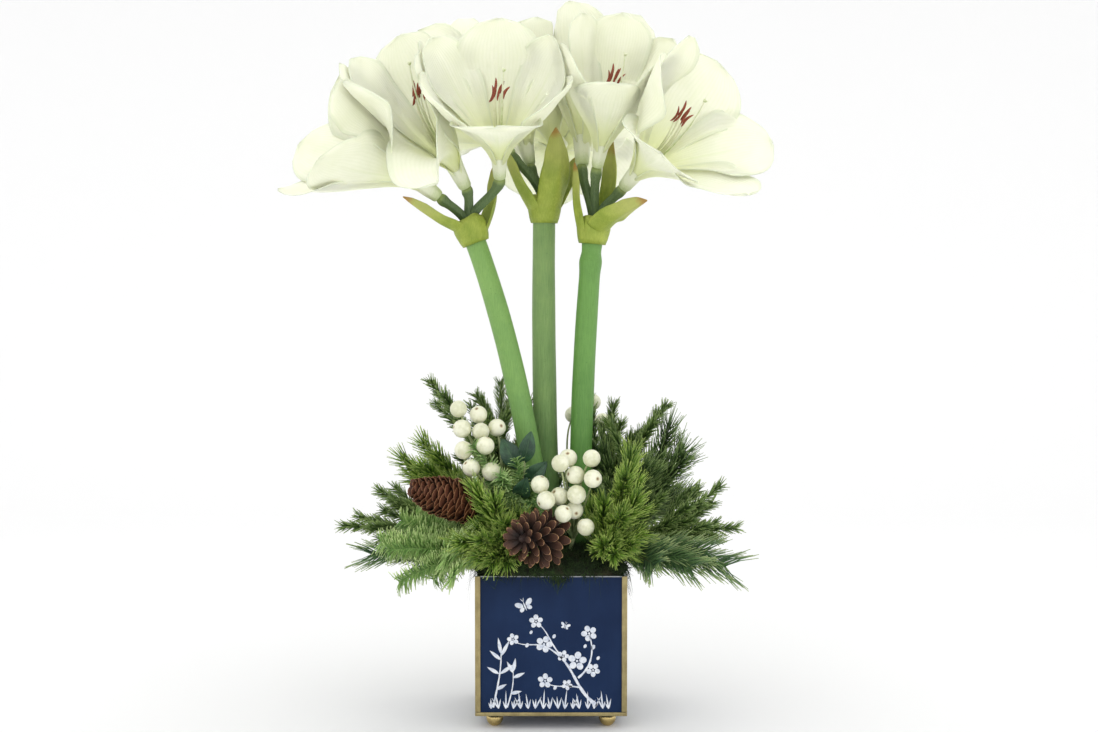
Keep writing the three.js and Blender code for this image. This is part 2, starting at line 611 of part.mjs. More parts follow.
function stamens(bloom) {
  const { base, faces } = bloom;
  const root = along(base, faces, BLOOM.floor + GAP);
  const count = 7;
  const top = along(root, faces, 2);
  const body = skin([ring(root, faces, 4.8, count), ring(top, faces, 4.8, count), [along(top, faces, 0.4)]]);
  const droop = V(0, 0, -1).addScaledVector(faces, faces.z).normalize();
  for (let k = 0; k < count; k++) {
    const face = 2 * count + k;
    const from = faceCentre(body, face);
    const corners = body.faces[face].map((i) => body.points[i].clone().sub(from).normalize());
    const out = from.clone().sub(top);
    out.addScaledVector(faces, -out.dot(faces)).normalize();
    const style = k === count - 1;
    const length = style ? STAMEN.style : STAMEN.filament + 3 * (k % 3);
    const to = along(along(from, faces, length), out, style ? 3 : STAMEN.spread);
    const path = bend(from, along(along(from, faces, 0.6 * length), droop, 0.12 * length), to);
    const across = out.clone().cross(faces).addScaledVector(faces, 1.1).normalize();
    const shoot = (p, d, radius) => {
      const q = new THREE.Quaternion().setFromUnitVectors(faces, d);
      return corners.map((c) => c.clone().applyQuaternion(q).multiplyScalar(radius).add(p));
    };
    const rings = [shoot(path.getPoint(0.5), path.getTangent(0.5), 0.75), shoot(to, path.getTangent(1), 0.7)];
    if (style) rings.push(shoot(along(to, faces, 2), faces, 1.6), [along(to, faces, 4)]);
    else rings.push(shoot(along(to, across, 5), across, 1.8), [along(to, across, STAMEN.anther)]);
    sprout(body, face, rings);
  }
  body.points = body.points.map((p) => pressed(p, bloom));
  return closedSolid(body);
}

// ---------------------------------------------------------------- cones, berries and leaves
// The stalk that stands in the moss, and a wire that bends from it to where a cone starts.
const stake = ({ root, fork, way }) => rod(root, along(fork, way, 2), STALK.radius, 3);
function wire({ fork, way }, end) {
  return limb(bend(fork, along(fork, way, 8), end), () => 1.5, 4, 3);
}

// A closed cone: rows of scales, each row with its tips raised and pushed forward over the next one.
function longCone(c) {
  const [rows, sides] = [9, 12];
  const q = new THREE.Quaternion().setFromUnitVectors(UP, c.faces);
  const swell = (t) => c.radius * Math.sin(Math.PI * (0.16 + 0.8 * t)) ** 0.7;
  const rim = (t, raised, parity) =>
    list(sides, (i) => {
      const a = (TURN * i) / sides;
      const tip = raised && (i + parity) % 2 === 0;
      const r = swell(t) * (tip ? 1.04 : 0.84);
      const z = t * c.length + (tip ? 2.5 : 0);
      return V(r * Math.cos(a), r * Math.sin(a), z).applyQuaternion(q).add(c.base);
    });
  const rings = [];
  for (let j = 0; j < rows; j++) rings.push(rim(j / rows, false, j), rim((j + 0.75) / rows, true, j));
  rings.push([along(c.base, c.faces, c.length)]);
  return union([loft(rings), stake(c.stalk), wire(c.stalk, along(c.base, c.faces, 3))]);
}

// An open cone: wedge-shaped woody scales stand out from a slim core, shorter and steeper towards its tip.
function openCone(c) {
  const [rows, sides] = [8, 7];
  const q = new THREE.Quaternion().setFromUnitVectors(UP, c.faces);
  const core = (t) => c.radius * (0.42 - 0.26 * t);
  const rings = list(rows + 1, (j) => {
    const t = j / rows;
    return list(sides, (i) => {
      const a = (TURN * (i + 0.5 * j)) / sides;
      return V(core(t) * Math.cos(a), core(t) * Math.sin(a), t * c.length).applyQuaternion(q).add(c.base);
    });
  });
  const body = skin([...rings, [along(c.base, c.faces, c.length + 3)]]);
  for (let j = 0; j < rows; j++)
    for (let i = 0; i < sides; i++) {
      const face = 2 * (sides * j + i);
      const t = (j + 0.5) / rows;
      const from = faceCentre(body, face);
      const out = from.clone().sub(c.base);
      out.addScaledVector(c.faces, -out.dot(c.faces)).normalize();
      const lean = rad(lerp(4, 60, t));
      const way = out.clone().multiplyScalar(Math.cos(lean)).addScaledVector(c.faces, Math.sin(lean));
      const side = c.faces.clone().cross(out).normalize();
      const up = way.clone().cross(side).multiplyScalar(-1);
      const end = along(from, way, lerp(c.radius, 0.55 * c.radius, t * t));
      const half = lerp(6.6, 4, t);
      const [a, b, o] = [along(end, side, -half), along(end, side, half), along(end, up, -2.6)];
      sprout(body, face, [[a, b, o]]);
    }
  return union([closedSolid(body), stake(c.stalk), wire(c.stalk, along(c.base, c.faces, 3))]);
}

// Each berry and its stem are one body, spun round the line from the fork to the berry's far side.
function berrySprig({ stalk, centres }) {
  const parts = [stake(stalk)];
  for (const c of centres) {
    const centre = V(...c);
    const d = centre.clone().sub(stalk.fork).normalize();
    const profile = [[-0.98, 1.1], [-0.62, 0.8 * BERRY], [0, BERRY], [0.62, 0.8 * BERRY]];
    const rings = profile.map(([share, radius]) => ring(along(centre, d, share * BERRY), d, radius, 6));
    parts.push(loft([ring(stalk.fork, d, 1.1, 6), ...rings, [along(centre, d, BERRY)]]));
  }
  return union(parts);
}

// A leaf and its stalk are one four-sided body, flattened and arched where the leaf is.
function leafSprig({ stalk, leaves }) {
  const parts = [stake(stalk)];
  for (const leaf of leaves) {
    const [from, to] = [V(...leaf.from), V(...leaf.to)];
    const way = to.clone().sub(from).normalize();
    const side = way.clone().cross(V(0, -1, 0.2)).normalize();
    const face = side.clone().cross(way);
    const at = (t, half, keel) => {
      const p = along(along(from, to.clone().sub(from), t), face, 4 * Math.sin(Math.PI * t));
      return leafRing(p, side, face, half, 0.8, keel);
    };
    const stem = [leafRing(stalk.fork, side, face, 1.2, 1.2, 0), leafRing(from, side, face, 1.2, 1, 0)];
    const { half } = leaf;
    const leafRings = [at(0.3, 0.85 * half, 2), at(0.6, half, 2.4), at(0.85, 0.55 * half, 1.2)];
    parts.push(loft([...stem, ...leafRings, [to]]));
  }
  return union(parts);
}

// ---------------------------------------------------------------- evergreen picks
// A branchlet keeps its tip but bows aside, in growing steps, until it clears what is already there.
function branchPath({ fork, way }, tip) {
  const end = V(...tip);
  const reach = fork.distanceTo(end);
  const straight = end.clone().sub(fork).normalize();
  const middle = along(along(fork, way, 0.25 * reach), straight, 0.25 * reach);
  for (let k = 0; ; k++) {
    const a = k * GOLDEN;
    const bow = V(Math.cos(a), Math.sin(a), 0.6 * Math.sin(2 * a)).multiplyScalar(1.5 * k);
    const path = bend(fork, middle.clone().add(bow), end);
    if (k === PICK.tries || clear(limb(path, () => PICK.wood + GAP + 0.2, 4, 5))) return path;
  }
}

// A branchlet is a slim three-sided twig. It has short bands, and a needle grows out of each face of a band.
function branchlet(path, kind, draw, nearby, foot) {
  const reach = path.getLength();
  const count = Math.floor((reach - PICK.bare - 3) / kind.pitch) + 1;
  const places = list(count, (i) => (PICK.bare + i * kind.pitch) / reach);
  const half = PICK.band / 2 / reach;
  const stations = [[0, PICK.wood]];
  places.forEach((share, i) => {
    const radius = PICK.wood * (1.1 - 0.5 * share);
    stations.push([share - half, radius, 30 * (i % 2)], [share + half, radius, 30 * (i % 2)]);
  });
  const tip = along(path.getPointAt(1), path.getTangentAt(1), kind.length / 2);
  const body = skin([...foot, ...ringsAlong(path, stations, 3), [tip]]);
  places.forEach((share, i) => {
    const p = path.getPointAt(share);
    const d = path.getTangentAt(share);
    const side = d.clone().cross(UP).normalize();
    const up = side.clone().cross(d);
    for (let k = 0; k < 6; k++) {
      const face = 6 * (foot.length + 2 * i + 1) + k;
      const from = faceCentre(body, face);
      const out = from.clone().sub(p);
      const [x, y] = [out.dot(side), kind.flat * out.dot(up)];
      out.set(0, 0, 0).addScaledVector(side, x).addScaledVector(up, y).normalize();
      const lean = rad(kind.spread * (0.88 + 0.24 * draw()));
      const way = d.clone().multiplyScalar(Math.cos(lean)).addScaledVector(out, Math.sin(lean)).normalize();
      const length = kind.length * (0.85 + 0.3 * draw()) * (1 - 0.35 * share ** 4);
      const skip = draw() < kind.thin;
      const probe = loft([ring(from, way, 0.7 + GAP, 3), [along(from, way, length + 1)]]);
      if (skip || !clear(probe) || !clear(probe, nearby)) continue;
      sprout(body, face, [[along(from, way, length)]]);
    }
  });
  return closedSolid(body);
}

// The first branchlet of a pick and its stalk are one body, and the others grow out of their fork.
function evergreen({ stalk: own, kind, tips }, draw) {
  const line = new THREE.LineCurve3(own.root, own.fork);
  const foot = ringsAlong(line, [[0, STALK.radius], [0.9, STALK.radius]], 3);
  const nearby = [];
  for (const tip of tips) {
    const solid = branchlet(branchPath(own, tip), NEEDLES[kind], draw, nearby, nearby.length ? [] : foot);
    nearby.push({ solid, box: solid.boundingBox() });
  }
  return union(nearby.map((n) => n.solid));
}

// ---------------------------------------------------------------- assembly
planter();
bed();
heads();
for (const bloom of BLOOMS) add("bloom_" + bloom.name, bloomSolid(bloom), petalWhite);
for (const bloom of BLOOMS) add("stamens_" + bloom.name, stamens(bloom), antherRed);
add("cone_long", longCone(CONES.long), coneBrown);
add("cone_open", openCone(CONES.open), coneBrown);
for (const [name, sprig] of Object.entries(BERRIES)) add("berries_" + name, berrySprig(sprig), berryCream);
add("leaf_sprig", leafSprig(SPRIG), leafGreen);
const draw = stream(41);
for (const pick of PICKS) {
  add("evergreen_" + pick.name, evergreen(pick, draw), material(NEEDLES[pick.kind].color, 0.7));
}

const arrangement = new THREE.Group();
for (const piece of pieces) {
  const mesh = new THREE.Mesh(geometryOf(piece.solid), piece.material);
  mesh.name = piece.name;
  arrangement.add(mesh);
}
const size = new THREE.Box3().setFromObject(arrangement);
arrangement.position.set(-(size.min.x + size.max.x) / 2, -(size.min.y + size.max.y) / 2, 0);

export default arrangement;
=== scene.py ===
# %% [markdown]
# # A potted amaryllis arrangement
# The real thing is a silk flower arrangement. Three thick stems, each with a papery spathe and a head of
# white trumpet blooms, stand in a square lacquered metal planter, with a collar of evergreen picks, cones,
# berries and a few smooth leaves round their feet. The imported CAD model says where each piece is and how
# large it is. This script dresses each piece: it rebuilds the soft and grown forms with finer meshes in the
# places that the frame gives, and makes every finish from shader nodes.

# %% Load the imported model
import json
import math

import bmesh
import bpy
import numpy as np
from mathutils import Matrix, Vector

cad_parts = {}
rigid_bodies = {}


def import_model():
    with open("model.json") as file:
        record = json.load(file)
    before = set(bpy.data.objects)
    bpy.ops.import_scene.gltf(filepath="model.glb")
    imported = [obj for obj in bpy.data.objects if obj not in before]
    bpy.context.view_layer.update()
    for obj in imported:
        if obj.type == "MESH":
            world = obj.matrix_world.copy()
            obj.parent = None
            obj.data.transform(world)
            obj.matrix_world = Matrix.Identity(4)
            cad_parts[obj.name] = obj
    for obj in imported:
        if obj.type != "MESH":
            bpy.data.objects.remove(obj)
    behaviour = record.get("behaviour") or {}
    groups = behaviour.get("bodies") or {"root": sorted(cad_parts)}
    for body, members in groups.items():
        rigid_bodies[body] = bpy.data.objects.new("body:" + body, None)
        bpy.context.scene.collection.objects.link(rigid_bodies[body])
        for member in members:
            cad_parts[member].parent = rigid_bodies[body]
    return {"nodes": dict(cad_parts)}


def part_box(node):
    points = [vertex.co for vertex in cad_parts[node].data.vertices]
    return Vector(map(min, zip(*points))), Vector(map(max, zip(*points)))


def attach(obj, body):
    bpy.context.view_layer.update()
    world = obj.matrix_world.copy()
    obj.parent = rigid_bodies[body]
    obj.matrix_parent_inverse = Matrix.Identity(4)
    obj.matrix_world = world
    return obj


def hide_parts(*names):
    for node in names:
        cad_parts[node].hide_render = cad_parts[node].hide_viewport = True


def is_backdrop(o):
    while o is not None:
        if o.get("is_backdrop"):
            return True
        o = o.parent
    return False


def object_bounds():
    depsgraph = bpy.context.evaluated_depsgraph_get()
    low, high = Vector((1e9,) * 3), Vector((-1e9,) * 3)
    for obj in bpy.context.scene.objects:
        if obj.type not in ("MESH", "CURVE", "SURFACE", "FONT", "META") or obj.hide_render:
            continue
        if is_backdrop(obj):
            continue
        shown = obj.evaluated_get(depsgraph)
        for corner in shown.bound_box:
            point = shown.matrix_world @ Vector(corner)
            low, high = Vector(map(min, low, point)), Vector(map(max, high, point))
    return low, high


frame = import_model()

cad_box = [list(corner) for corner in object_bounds()]
print("nodes in the frame:", len(frame["nodes"]))

# %% [markdown]
# Blender works in metres, but a maker thinks of this object in millimetres from the middle of the pot. So
# every place below is written that way, and one step at the end of each mesh moves it into the frame.

# %% Places in millimetres from the pot's upright centre line
MM = 0.001
pot_low, pot_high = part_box("planter_body")
pot_middle = np.array([(pot_low.x + pot_high.x) / 2, (pot_low.y + pot_high.y) / 2, 0.0])
UP = np.array([0.0, 0.0, 1.0])


def placed(points):
    """Points in millimetres round the pot as points of the frame, in metres."""
    return np.asarray(points, float) * MM + pot_middle


def unit(v):
    v = np.asarray(v, float)
    return v / np.maximum(np.linalg.norm(v, axis=-1, keepdims=True), 1e-9)


def smooth(x, low, high):
    """0 below low, 1 above high, and an easy curve between them."""
    q = np.clip((x - low) / (high - low), 0, 1)
    return q * q * (3 - 2 * q)


def turn_up_to(direction):
    """The shortest turn that takes +Z to a direction."""
    return Vector((0, 0, 1)).rotation_difference(Vector(direction))


def turned_up_to(direction):
    """The same turn as a 3x3 matrix."""
    return np.array(turn_up_to(direction).to_matrix())


def in_scene(name, data):
    """A new object in the scene."""
    made = bpy.data.objects.new(name, data)
    bpy.context.scene.collection.objects.link(made)
    return made


print("pot centre in the frame, mm:", np.round(pot_middle / MM, 2))

# %% [markdown]
# The camera stands at the height of the blooms and looks slightly down, as a product photographer would,
# with a normal lens far enough back to keep the pot's sides upright.

# %% Camera
CAMERA_PLACE = (-2.1, -1697.7, 449.9)
CAMERA_DOWN = 3.0  # degrees
camera_data = bpy.data.cameras.new("camera")
camera_data.lens = 53.82
camera_data.sensor_width = 36
camera = in_scene("camera", camera_data)
camera.location = placed(CAMERA_PLACE)
camera.rotation_euler = (math.radians(90 - CAMERA_DOWN), 0, 0)
bpy.context.scene.camera = camera

# %% [markdown]
# ## Tools for node trees
# A finish on a grown or painted thing is never one flat colour, and what repeats on it is grown by a tree of
# Geometry Nodes. Both are easier to read as expressions than as tangles of nodes. So one small class wraps a
# socket and gives it +, -, * and so on, and one base class adds nodes to a tree of either kind.

# %% A socket that can be used in expressions
class Wire:
    def __init__(self, owner, socket):
        self.owner = owner
        self.socket = socket

    def math(self, operation, *others):
        return self.owner.node("ShaderNodeMath", dict(enumerate([self, *others])), operation=operation)

    def __add__(self, other):
        return self.math("ADD", other)

    def __sub__(self, other):
        return self.math("SUBTRACT", other)

    def __rsub__(self, other):
        return (self * -1).math("ADD", other)

    def __mul__(self, other):
        return self.math("MULTIPLY", other)

    def __truediv__(self, other):
        return self.math("DIVIDE", other)

    def __pow__(self, other):
        return self.math("POWER", other)

    __radd__ = __add__
    __rmul__ = __mul__

    def clamp(self):
        return self.owner.node("ShaderNodeClamp", {0: self})

    def between(self, low, high):
        """0 where the value is low, 1 where it is high, with an easy curve between."""
        ends = {"Value": self, "From Min": low, "From Max": high}
        return self.owner.node("ShaderNodeMapRange", ends, interpolation_type="SMOOTHSTEP")

    def to_range(self, low, high):
        """Takes 0 to low and 1 to high, in a straight line."""
        return self.owner.node("ShaderNodeMapRange", {"Value": self, "To Min": low, "To Max": high})

    def above(self, limit):
        return self.owner.node("FunctionNodeCompare", {0: self, 1: limit}, operation="GREATER_THAN")

    def beside(self, label):
        """Another output of the same node."""
        return Wire(self.owner, self.socket.node.outputs[label])


class Tree:
    def node(self, kind, inputs=None, output=0, **settings):
        """Adds a node. An input is a number, a colour, a wire, or a list of wires."""
        made = self.tree.nodes.new(kind)
        for key, value in settings.items():
            setattr(made, key, value)
        for key, value in (inputs or {}).items():
            for one in value if isinstance(value, list) else [value]:
                self.set(made.inputs[key], one)
        return Wire(self, made.outputs[output])

    def set(self, socket, value):
        if isinstance(value, Wire):
            self.tree.links.new(value.socket, socket)
        elif isinstance(value, tuple) and len(value) == 3 and socket.type == "RGBA":
            socket.default_value = (*value, 1)
        else:
            socket.default_value = value

    def parts(self, vector):
        """The x, y and z of a vector."""
        split = self.node("ShaderNodeSeparateXYZ", {0: vector})
        return [split.beside(axis) for axis in range(3)]


# %% A material and the nodes that make its finish
class Finish(Tree):
    def __init__(self, name):
        self.material = bpy.data.materials.new(name)
        self.material.use_nodes = True
        self.tree = self.material.node_tree
        self.shader = self.tree.nodes["Principled BSDF"]

    def place(self):
        return self.node("ShaderNodeTexCoord", output="Object")

    def uv(self, axis):
        return self.parts(self.node("ShaderNodeUVMap", uv_map="UVMap"))[axis]

    def attribute(self, name):
        return self.node("ShaderNodeAttribute", output="Fac", attribute_name=name)

    def noise(self, size, detail=3.0, rough=0.55, place=None):
        """Soft cloudy variation. size is about one blotch, in millimetres."""
        inputs = {"Scale": 1 / (size * MM), "Detail": detail, "Roughness": rough}
        return self.node("ShaderNodeTexNoise", {"Vector": place or self.place(), **inputs})

    def streaks(self, across, along, detail=3, rough=0.6, size=1):
        """Variation that runs up the piece: noise on Object coordinates scaled across and along."""
        scale = (across, across, along)
        stretched = self.node("ShaderNodeMapping", {"Vector": self.place(), "Scale": scale})
        return self.noise(size, detail, rough, stretched)

    def mix(self, low, high, factor):
        """The colour low where the factor is 0, and high where it is 1."""
        inputs = {"Factor": factor, 6: low, 7: high}
        return self.node("ShaderNodeMix", inputs, 2, data_type="RGBA", clamp_factor=True)

    def bump(self, height, depth):
        """A bump whose full height is depth millimetres."""
        return self.node("ShaderNodeBump", {"Height": height, "Distance": depth * MM, "Strength": 1.0})

    def done(self, **inputs):
        for key, value in inputs.items():
            self.set(self.shader.inputs[key.replace("_", " ")], value)
        return self.material


def lit_through(weight, colour, depth=2):
    """The shader's settings for a little light that goes through, to a depth in millimetres."""
    return {"Subsurface_Weight": weight, "Subsurface_Radius": colour, "Subsurface_Scale": depth * MM}


def grainy(name, dark, light, rough, grain=(2.2, 4, 0.65), depth=0.3, ends=(0.3, 0.7)):
    """A plain matt stuff in two tones. grain is the blotch, its detail and its roughness."""
    finish = Finish(name)
    blotch = finish.noise(*grain)
    colour = finish.mix(dark, light, blotch.between(*ends))
    return finish.done(Base_Color=colour, Roughness=rough, Normal=finish.bump(blotch, depth))


# %% A Geometry Nodes tree with named inputs, and the nodes that most trees need
class Growth(Tree):
    def __init__(self, name, **inputs):
        """Each keyword is a kind of socket, and its value lists the names of the inputs of that kind."""
        self.tree = bpy.data.node_groups.new(name, "GeometryNodeTree")
        self.tree.is_modifier = True
        for way in ("INPUT", "OUTPUT"):
            self.tree.interface.new_socket("Geometry", in_out=way, socket_type="NodeSocketGeometry")
        self.ids = {}
        for kind, labels in inputs.items():
            for label in labels:
                made = self.tree.interface.new_socket(label, in_out="INPUT", socket_type="NodeSocket" + kind)
                self.ids[label] = made.identifier
        self.start = self.tree.nodes.new("NodeGroupInput")
        self.end = self.tree.nodes.new("NodeGroupOutput")

    def given(self, label):
        return Wire(self, self.start.outputs[label])

    def named(self, name, kind="FLOAT"):
        return self.node("GeometryNodeInputNamedAttribute", {"Name": name}, data_type=kind)

    def position(self):
        return self.parts(self.node("GeometryNodeInputPosition"))

    def vector(self, x=0.0, y=0.0, z=0.0):
        return self.node("ShaderNodeCombineXYZ", {0: x, 1: y, 2: z})

    def random(self, low, high, seed):
        return self.node("FunctionNodeRandomValue", {2: low, 3: high, "Seed": seed}, 1, data_type="FLOAT")

    def stored(self, geometry, name, value, domain="POINT"):
        inputs = {"Geometry": geometry, "Name": name, "Value": value}
        return self.node("GeometryNodeStoreNamedAttribute", inputs, data_type="FLOAT", domain=domain)

    def moved(self, geometry, **to):
        """Moves points: Offset is by how much, Position is where to."""
        return self.node("GeometryNodeSetPosition", {"Geometry": geometry, **to})

    def smoothed(self, geometry):
        return self.node("GeometryNodeSetShadeSmooth", {0: geometry})

    def facing(self, axes, first, second):
        """A rotation that takes one axis to a first direction, and another as near as it can to a second."""
        ways = {0: first, 1: second}
        return self.node("FunctionNodeAxesToRotation", ways, primary_axis=axes[0], secondary_axis=axes[1])

    def turned(self, rotation, by):
        return self.node("FunctionNodeRotateRotation", {0: rotation, 1: by}, rotation_space="LOCAL")

    def set_on(self, points, instance, rotation, size, **more):
        inputs = {"Points": points, "Instance": instance, "Rotation": rotation, "Scale": size, **more}
        return self.node("GeometryNodeInstanceOnPoints", inputs)

    def realised(self, geometry):
        return self.node("GeometryNodeRealizeInstances", {0: geometry})

    def coloured(self, geometry, label):
        return self.node("GeometryNodeSetMaterial", {0: geometry, "Material": self.given(label)})

    def together(self, *pieces):
        return self.node("GeometryNodeJoinGeometry", {0: list(pieces)})

    def finish(self, geometry):
        self.set(self.end.inputs[0], geometry)

    def grow(self, piece, values):
        """Runs the tree on a piece and leaves its result as a plain mesh."""
        modifier = piece.modifiers.new("growth", "NODES")
        modifier.node_group = self.tree
        for label, value in values.items():
            modifier[self.ids[label]] = value
        return applied(piece)


# %% [markdown]
# ## Tools for meshes
# Most pieces here are sheets or tubes. A sheet is a grid of points, and a tube is a row of rings, so two
# small builders cover petals, bracts, leaves, stems and filaments. Each keeps a UV map whose first number
# runs across the piece and whose second runs along it, so a finish can follow the way the piece grew.

# %% Collect points and faces, then make one mesh of them
def around(sides):
    """The direction of each side, once round."""
    return np.arange(sides) / sides * 2 * math.pi


WHOLE_MAP = [[0, 0], [1, 0], [1, 1], [0, 1]]  # a face that takes all of the UV map


class Maker:
    def __init__(self):
        self.points, self.faces, self.uvs, self.slots = [], [], [], []
        self.count = 0

    def grid(self, points, across=(), along=(), slot=0, closed=False, looped=False):
        """Joins rows of points. A closed grid joins its last column to its first, a looped one its rows too.
        across and along say where each column and each row lies on the UV map. Without them each face takes
        the whole map."""
        rows, columns = points.shape[:2]
        start = self.count
        self.points.append(points.reshape(-1, 3))
        self.count += rows * columns
        flat = np.stack(np.meshgrid(across, along), -1).reshape(-1, 2)
        for i in range(rows if looped else rows - 1):
            n = (i + 1) % rows
            for j in range(columns if closed else columns - 1):
                k = (j + 1) % columns
                corners = [i * columns + j, i * columns + k, n * columns + k, n * columns + j]
                self.faces.append([start + c for c in corners])
                ends = [flat[c].copy() for c in corners] if len(flat) else WHOLE_MAP
                if closed and k == 0 and len(flat):
                    ends[1][0] = ends[2][0] = 1.0
                self.uvs.extend(ends)
                self.slots.append(slot)
        return start

    def cap(self, ring, slot=0, v=0.0):
        """Closes an end of a tube with one face. ring is a list of point numbers."""
        self.faces.append(list(ring))
        self.uvs.extend([[0.5, v]] * len(ring))
        self.slots.append(slot)

    def solid(self, rings, slot=0, along=None, last_v=0.0, mapped=True):
        """A closed solid from rings of points, with a flat cap at each end. last_v is where the last cap lies
        on the UV map. When it isn't mapped, each face of its wall takes the whole map."""
        rings = np.array(rings, float)
        count, sides = rings.shape[:2]
        along = np.linspace(0, 1, count) if along is None else along
        places = (np.arange(sides) / sides, along) if mapped else ((), ())
        start = self.grid(rings, *places, slot, closed=True)
        self.cap(range(start, start + sides)[::-1], slot, 0.0)
        last = start + sides * (count - 1)
        self.cap(range(last, last + sides), slot, last_v)

    def tube(self, path, radii, sides, slot=0):
        """A tube along a path. Each radius may be one number or a row of numbers, one for each side."""
        path = np.asarray(path, float)
        way = unit(np.gradient(path, axis=0))
        side = np.zeros_like(path)
        side[0] = unit(np.cross(UP if abs(way[0][2]) < 0.9 else (1, 0, 0), way[0]))
        for i in range(1, len(path)):
            side[i] = unit(side[i - 1] - way[i] * np.dot(side[i - 1], way[i]))
        other = np.cross(way, side)
        turn = around(sides)
        radii = np.array([np.broadcast_to(r, (sides,)) for r in radii])
        ring = side[:, None] * np.cos(turn)[None, :, None] + other[:, None] * np.sin(turn)[None, :, None]
        self.solid(path[:, None] + ring * radii[:, :, None], slot, last_v=1.0)

    def build(self, name, materials, shade_smooth=True):
        mesh = bpy.data.meshes.new(name)
        mesh.from_pydata(placed(np.concatenate(self.points)).tolist(), [], self.faces)
        layer = mesh.uv_layers.new(name="UVMap")
        layer.data.foreach_set("uv", np.array(self.uvs, np.float32).ravel())
        for material in materials:
            mesh.materials.append(material)
        mesh.polygons.foreach_set("material_index", np.array(self.slots, np.int32))
        if shade_smooth:
            mesh.polygons.foreach_set("use_smooth", np.ones(len(self.faces), bool))
        mesh.update()
        return in_scene(name, mesh)


# %% Rings for the lathe, and curves
def lathe(profile, sides):
    """Rings of points for a profile of (radius, height), where each may also change from side to side."""
    turn = around(sides)
    return np.array([np.stack([r * np.cos(turn), r * np.sin(turn), z + 0 * turn], -1) for r, z in profile])


def bezier(points, t):
    """Points on a Bezier curve of two, three or four control points, for an array of shares t."""
    t = np.atleast_1d(t)[:, None]
    layer = [np.asarray(p, float)[None, :] for p in points]
    while len(layer) > 1:
        layer = [(1 - t) * a + t * b for a, b in zip(layer, layer[1:])]
    return layer[0]


def curve(points, count=12):
    """A Bezier curve as a path of count points."""
    return bezier(points, np.linspace(0, 1, count))


# %% From a mesh to a finished piece
def finished(piece, slot, *nodes):
    """Puts a piece on the one body of this object, in place of the CAD nodes that it stands for."""
    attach(piece, "root")
    if nodes:
        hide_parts(*nodes)
    return piece


def applied(piece):
    """Bakes a piece's modifiers into a plain mesh."""
    graph = bpy.context.evaluated_depsgraph_get()
    mesh = bpy.data.meshes.new_from_object(piece.evaluated_get(graph), depsgraph=graph)
    piece.modifiers.clear()
    piece.data = mesh
    return piece


def thickened(piece, thickness):
    """Gives a sheet a real thickness, half to each side."""
    shell = piece.modifiers.new("thickness", "SOLIDIFY")
    shell.thickness = thickness * MM
    shell.offset = 0
    shell.use_even_offset = False
    return applied(piece)


# %% [markdown]
# ## The stems
# An amaryllis stem, called a scape, is as thick as a thumb and leans a little under its flowers. A tube that
# follows a curve makes it. Silk stems are moulded with the marks of real ones: one has a fold running up it,
# one is finely ribbed, and one has a kink below the head where the wire inside was bent. So the radius
# changes round the tube as well as along it.

# %% Curves of the three scapes: foot, a point that they bend over, and top
SCAPES = {
    "left": {"curve": [(4, -14, 70), (-18, -12, 330), (-80, -12, 496)], "radius": 10.6},
    "centre": {"curve": [(4, 16, 70), (-10, 14, 300), (-7, 14, 518)], "radius": 11.4},
    "right": {"curve": [(31, -2, 70), (26, -4, 300), (43, -4, 496)], "radius": 10.6},
}
for scape in SCAPES.values():
    foot, over, top = (np.array(p, float) for p in scape["curve"])
    scape["top"] = top
    scape["way"] = unit(top - over)


# %% Finishes of the stems
def stem_finish(name, dark, light, rib):
    """Waxy green with lengthwise streaks, darker specks, and paler towards the top."""
    finish = Finish(name)
    streaks = finish.streaks(1.6, 0.07, 4)
    clouds = finish.noise(38)
    high = finish.uv(1)
    green = finish.mix(dark, light, (0.45 * streaks + 0.3 * clouds + 0.3 * high).between(0.25, 0.85))
    specks = finish.noise(1.6, 2).between(0.66, 0.75)
    green = finish.mix(green, tuple(0.55 * c for c in dark), 0.5 * specks)
    height = streaks + 0.15 * finish.noise(0.8)
    return finish.done(
        Base_Color=green,
        Roughness=0.42 + 0.16 * clouds,
        Normal=finish.bump(height, rib),
        **lit_through(0.08, (0.6, 1.0, 0.3)),
    )


scape_finishes = {
    "left": stem_finish("scape_left", (0.105, 0.25, 0.055), (0.26, 0.46, 0.115), 0.5),
    "centre": stem_finish("scape_centre", (0.095, 0.21, 0.06), (0.28, 0.43, 0.14), 0.9),
    "right": stem_finish("scape_right", (0.065, 0.2, 0.03), (0.18, 0.38, 0.08), 0.5),
}

# %% The three scapes
SCAPE_SIDES = 40
SCAPE_RINGS = 110


def scape_radii(name, base):
    share = np.linspace(0, 1, SCAPE_RINGS)[:, None]
    turn = around(SCAPE_SIDES)[None, :]
    radius = base + 0.9 * np.sin(math.pi * share) + 0 * turn
    if name == "left":
        fold = np.angle(np.exp(1j * (turn - 2.2 - 0.5 * share)))
        radius = radius - 1.7 * np.exp(-((fold / 0.2) ** 2)) + 0.5 * np.exp(-(((fold - 0.42) / 0.2) ** 2))
    if name == "centre":
        radius = radius + 0.22 * np.cos(13 * turn + 2 * share)
    if name == "right":
        kink = np.exp(-(((share - 0.93) / 0.02) ** 2)) - 0.8 * np.exp(-(((share - 0.955) / 0.014) ** 2))
        radius = radius + 1.1 * kink + 0.1 * np.cos(9 * turn)
    return radius + 0.14 * np.sin(23 * share + 2 * turn) * np.sin(9 * share)


for name, scape in SCAPES.items():
    maker = Maker()
    path = curve(scape["curve"], SCAPE_RINGS)
    maker.tube(path, scape_radii(name, scape["radius"]), SCAPE_SIDES)
    stem = maker.build("stem_" + name, [scape_finishes[name]])
    finished(stem, "scape", "scape_" + name)
    print("scape", name, "is", round(float(np.linalg.norm(np.diff(path, axis=0), axis=1).sum())), "mm long")

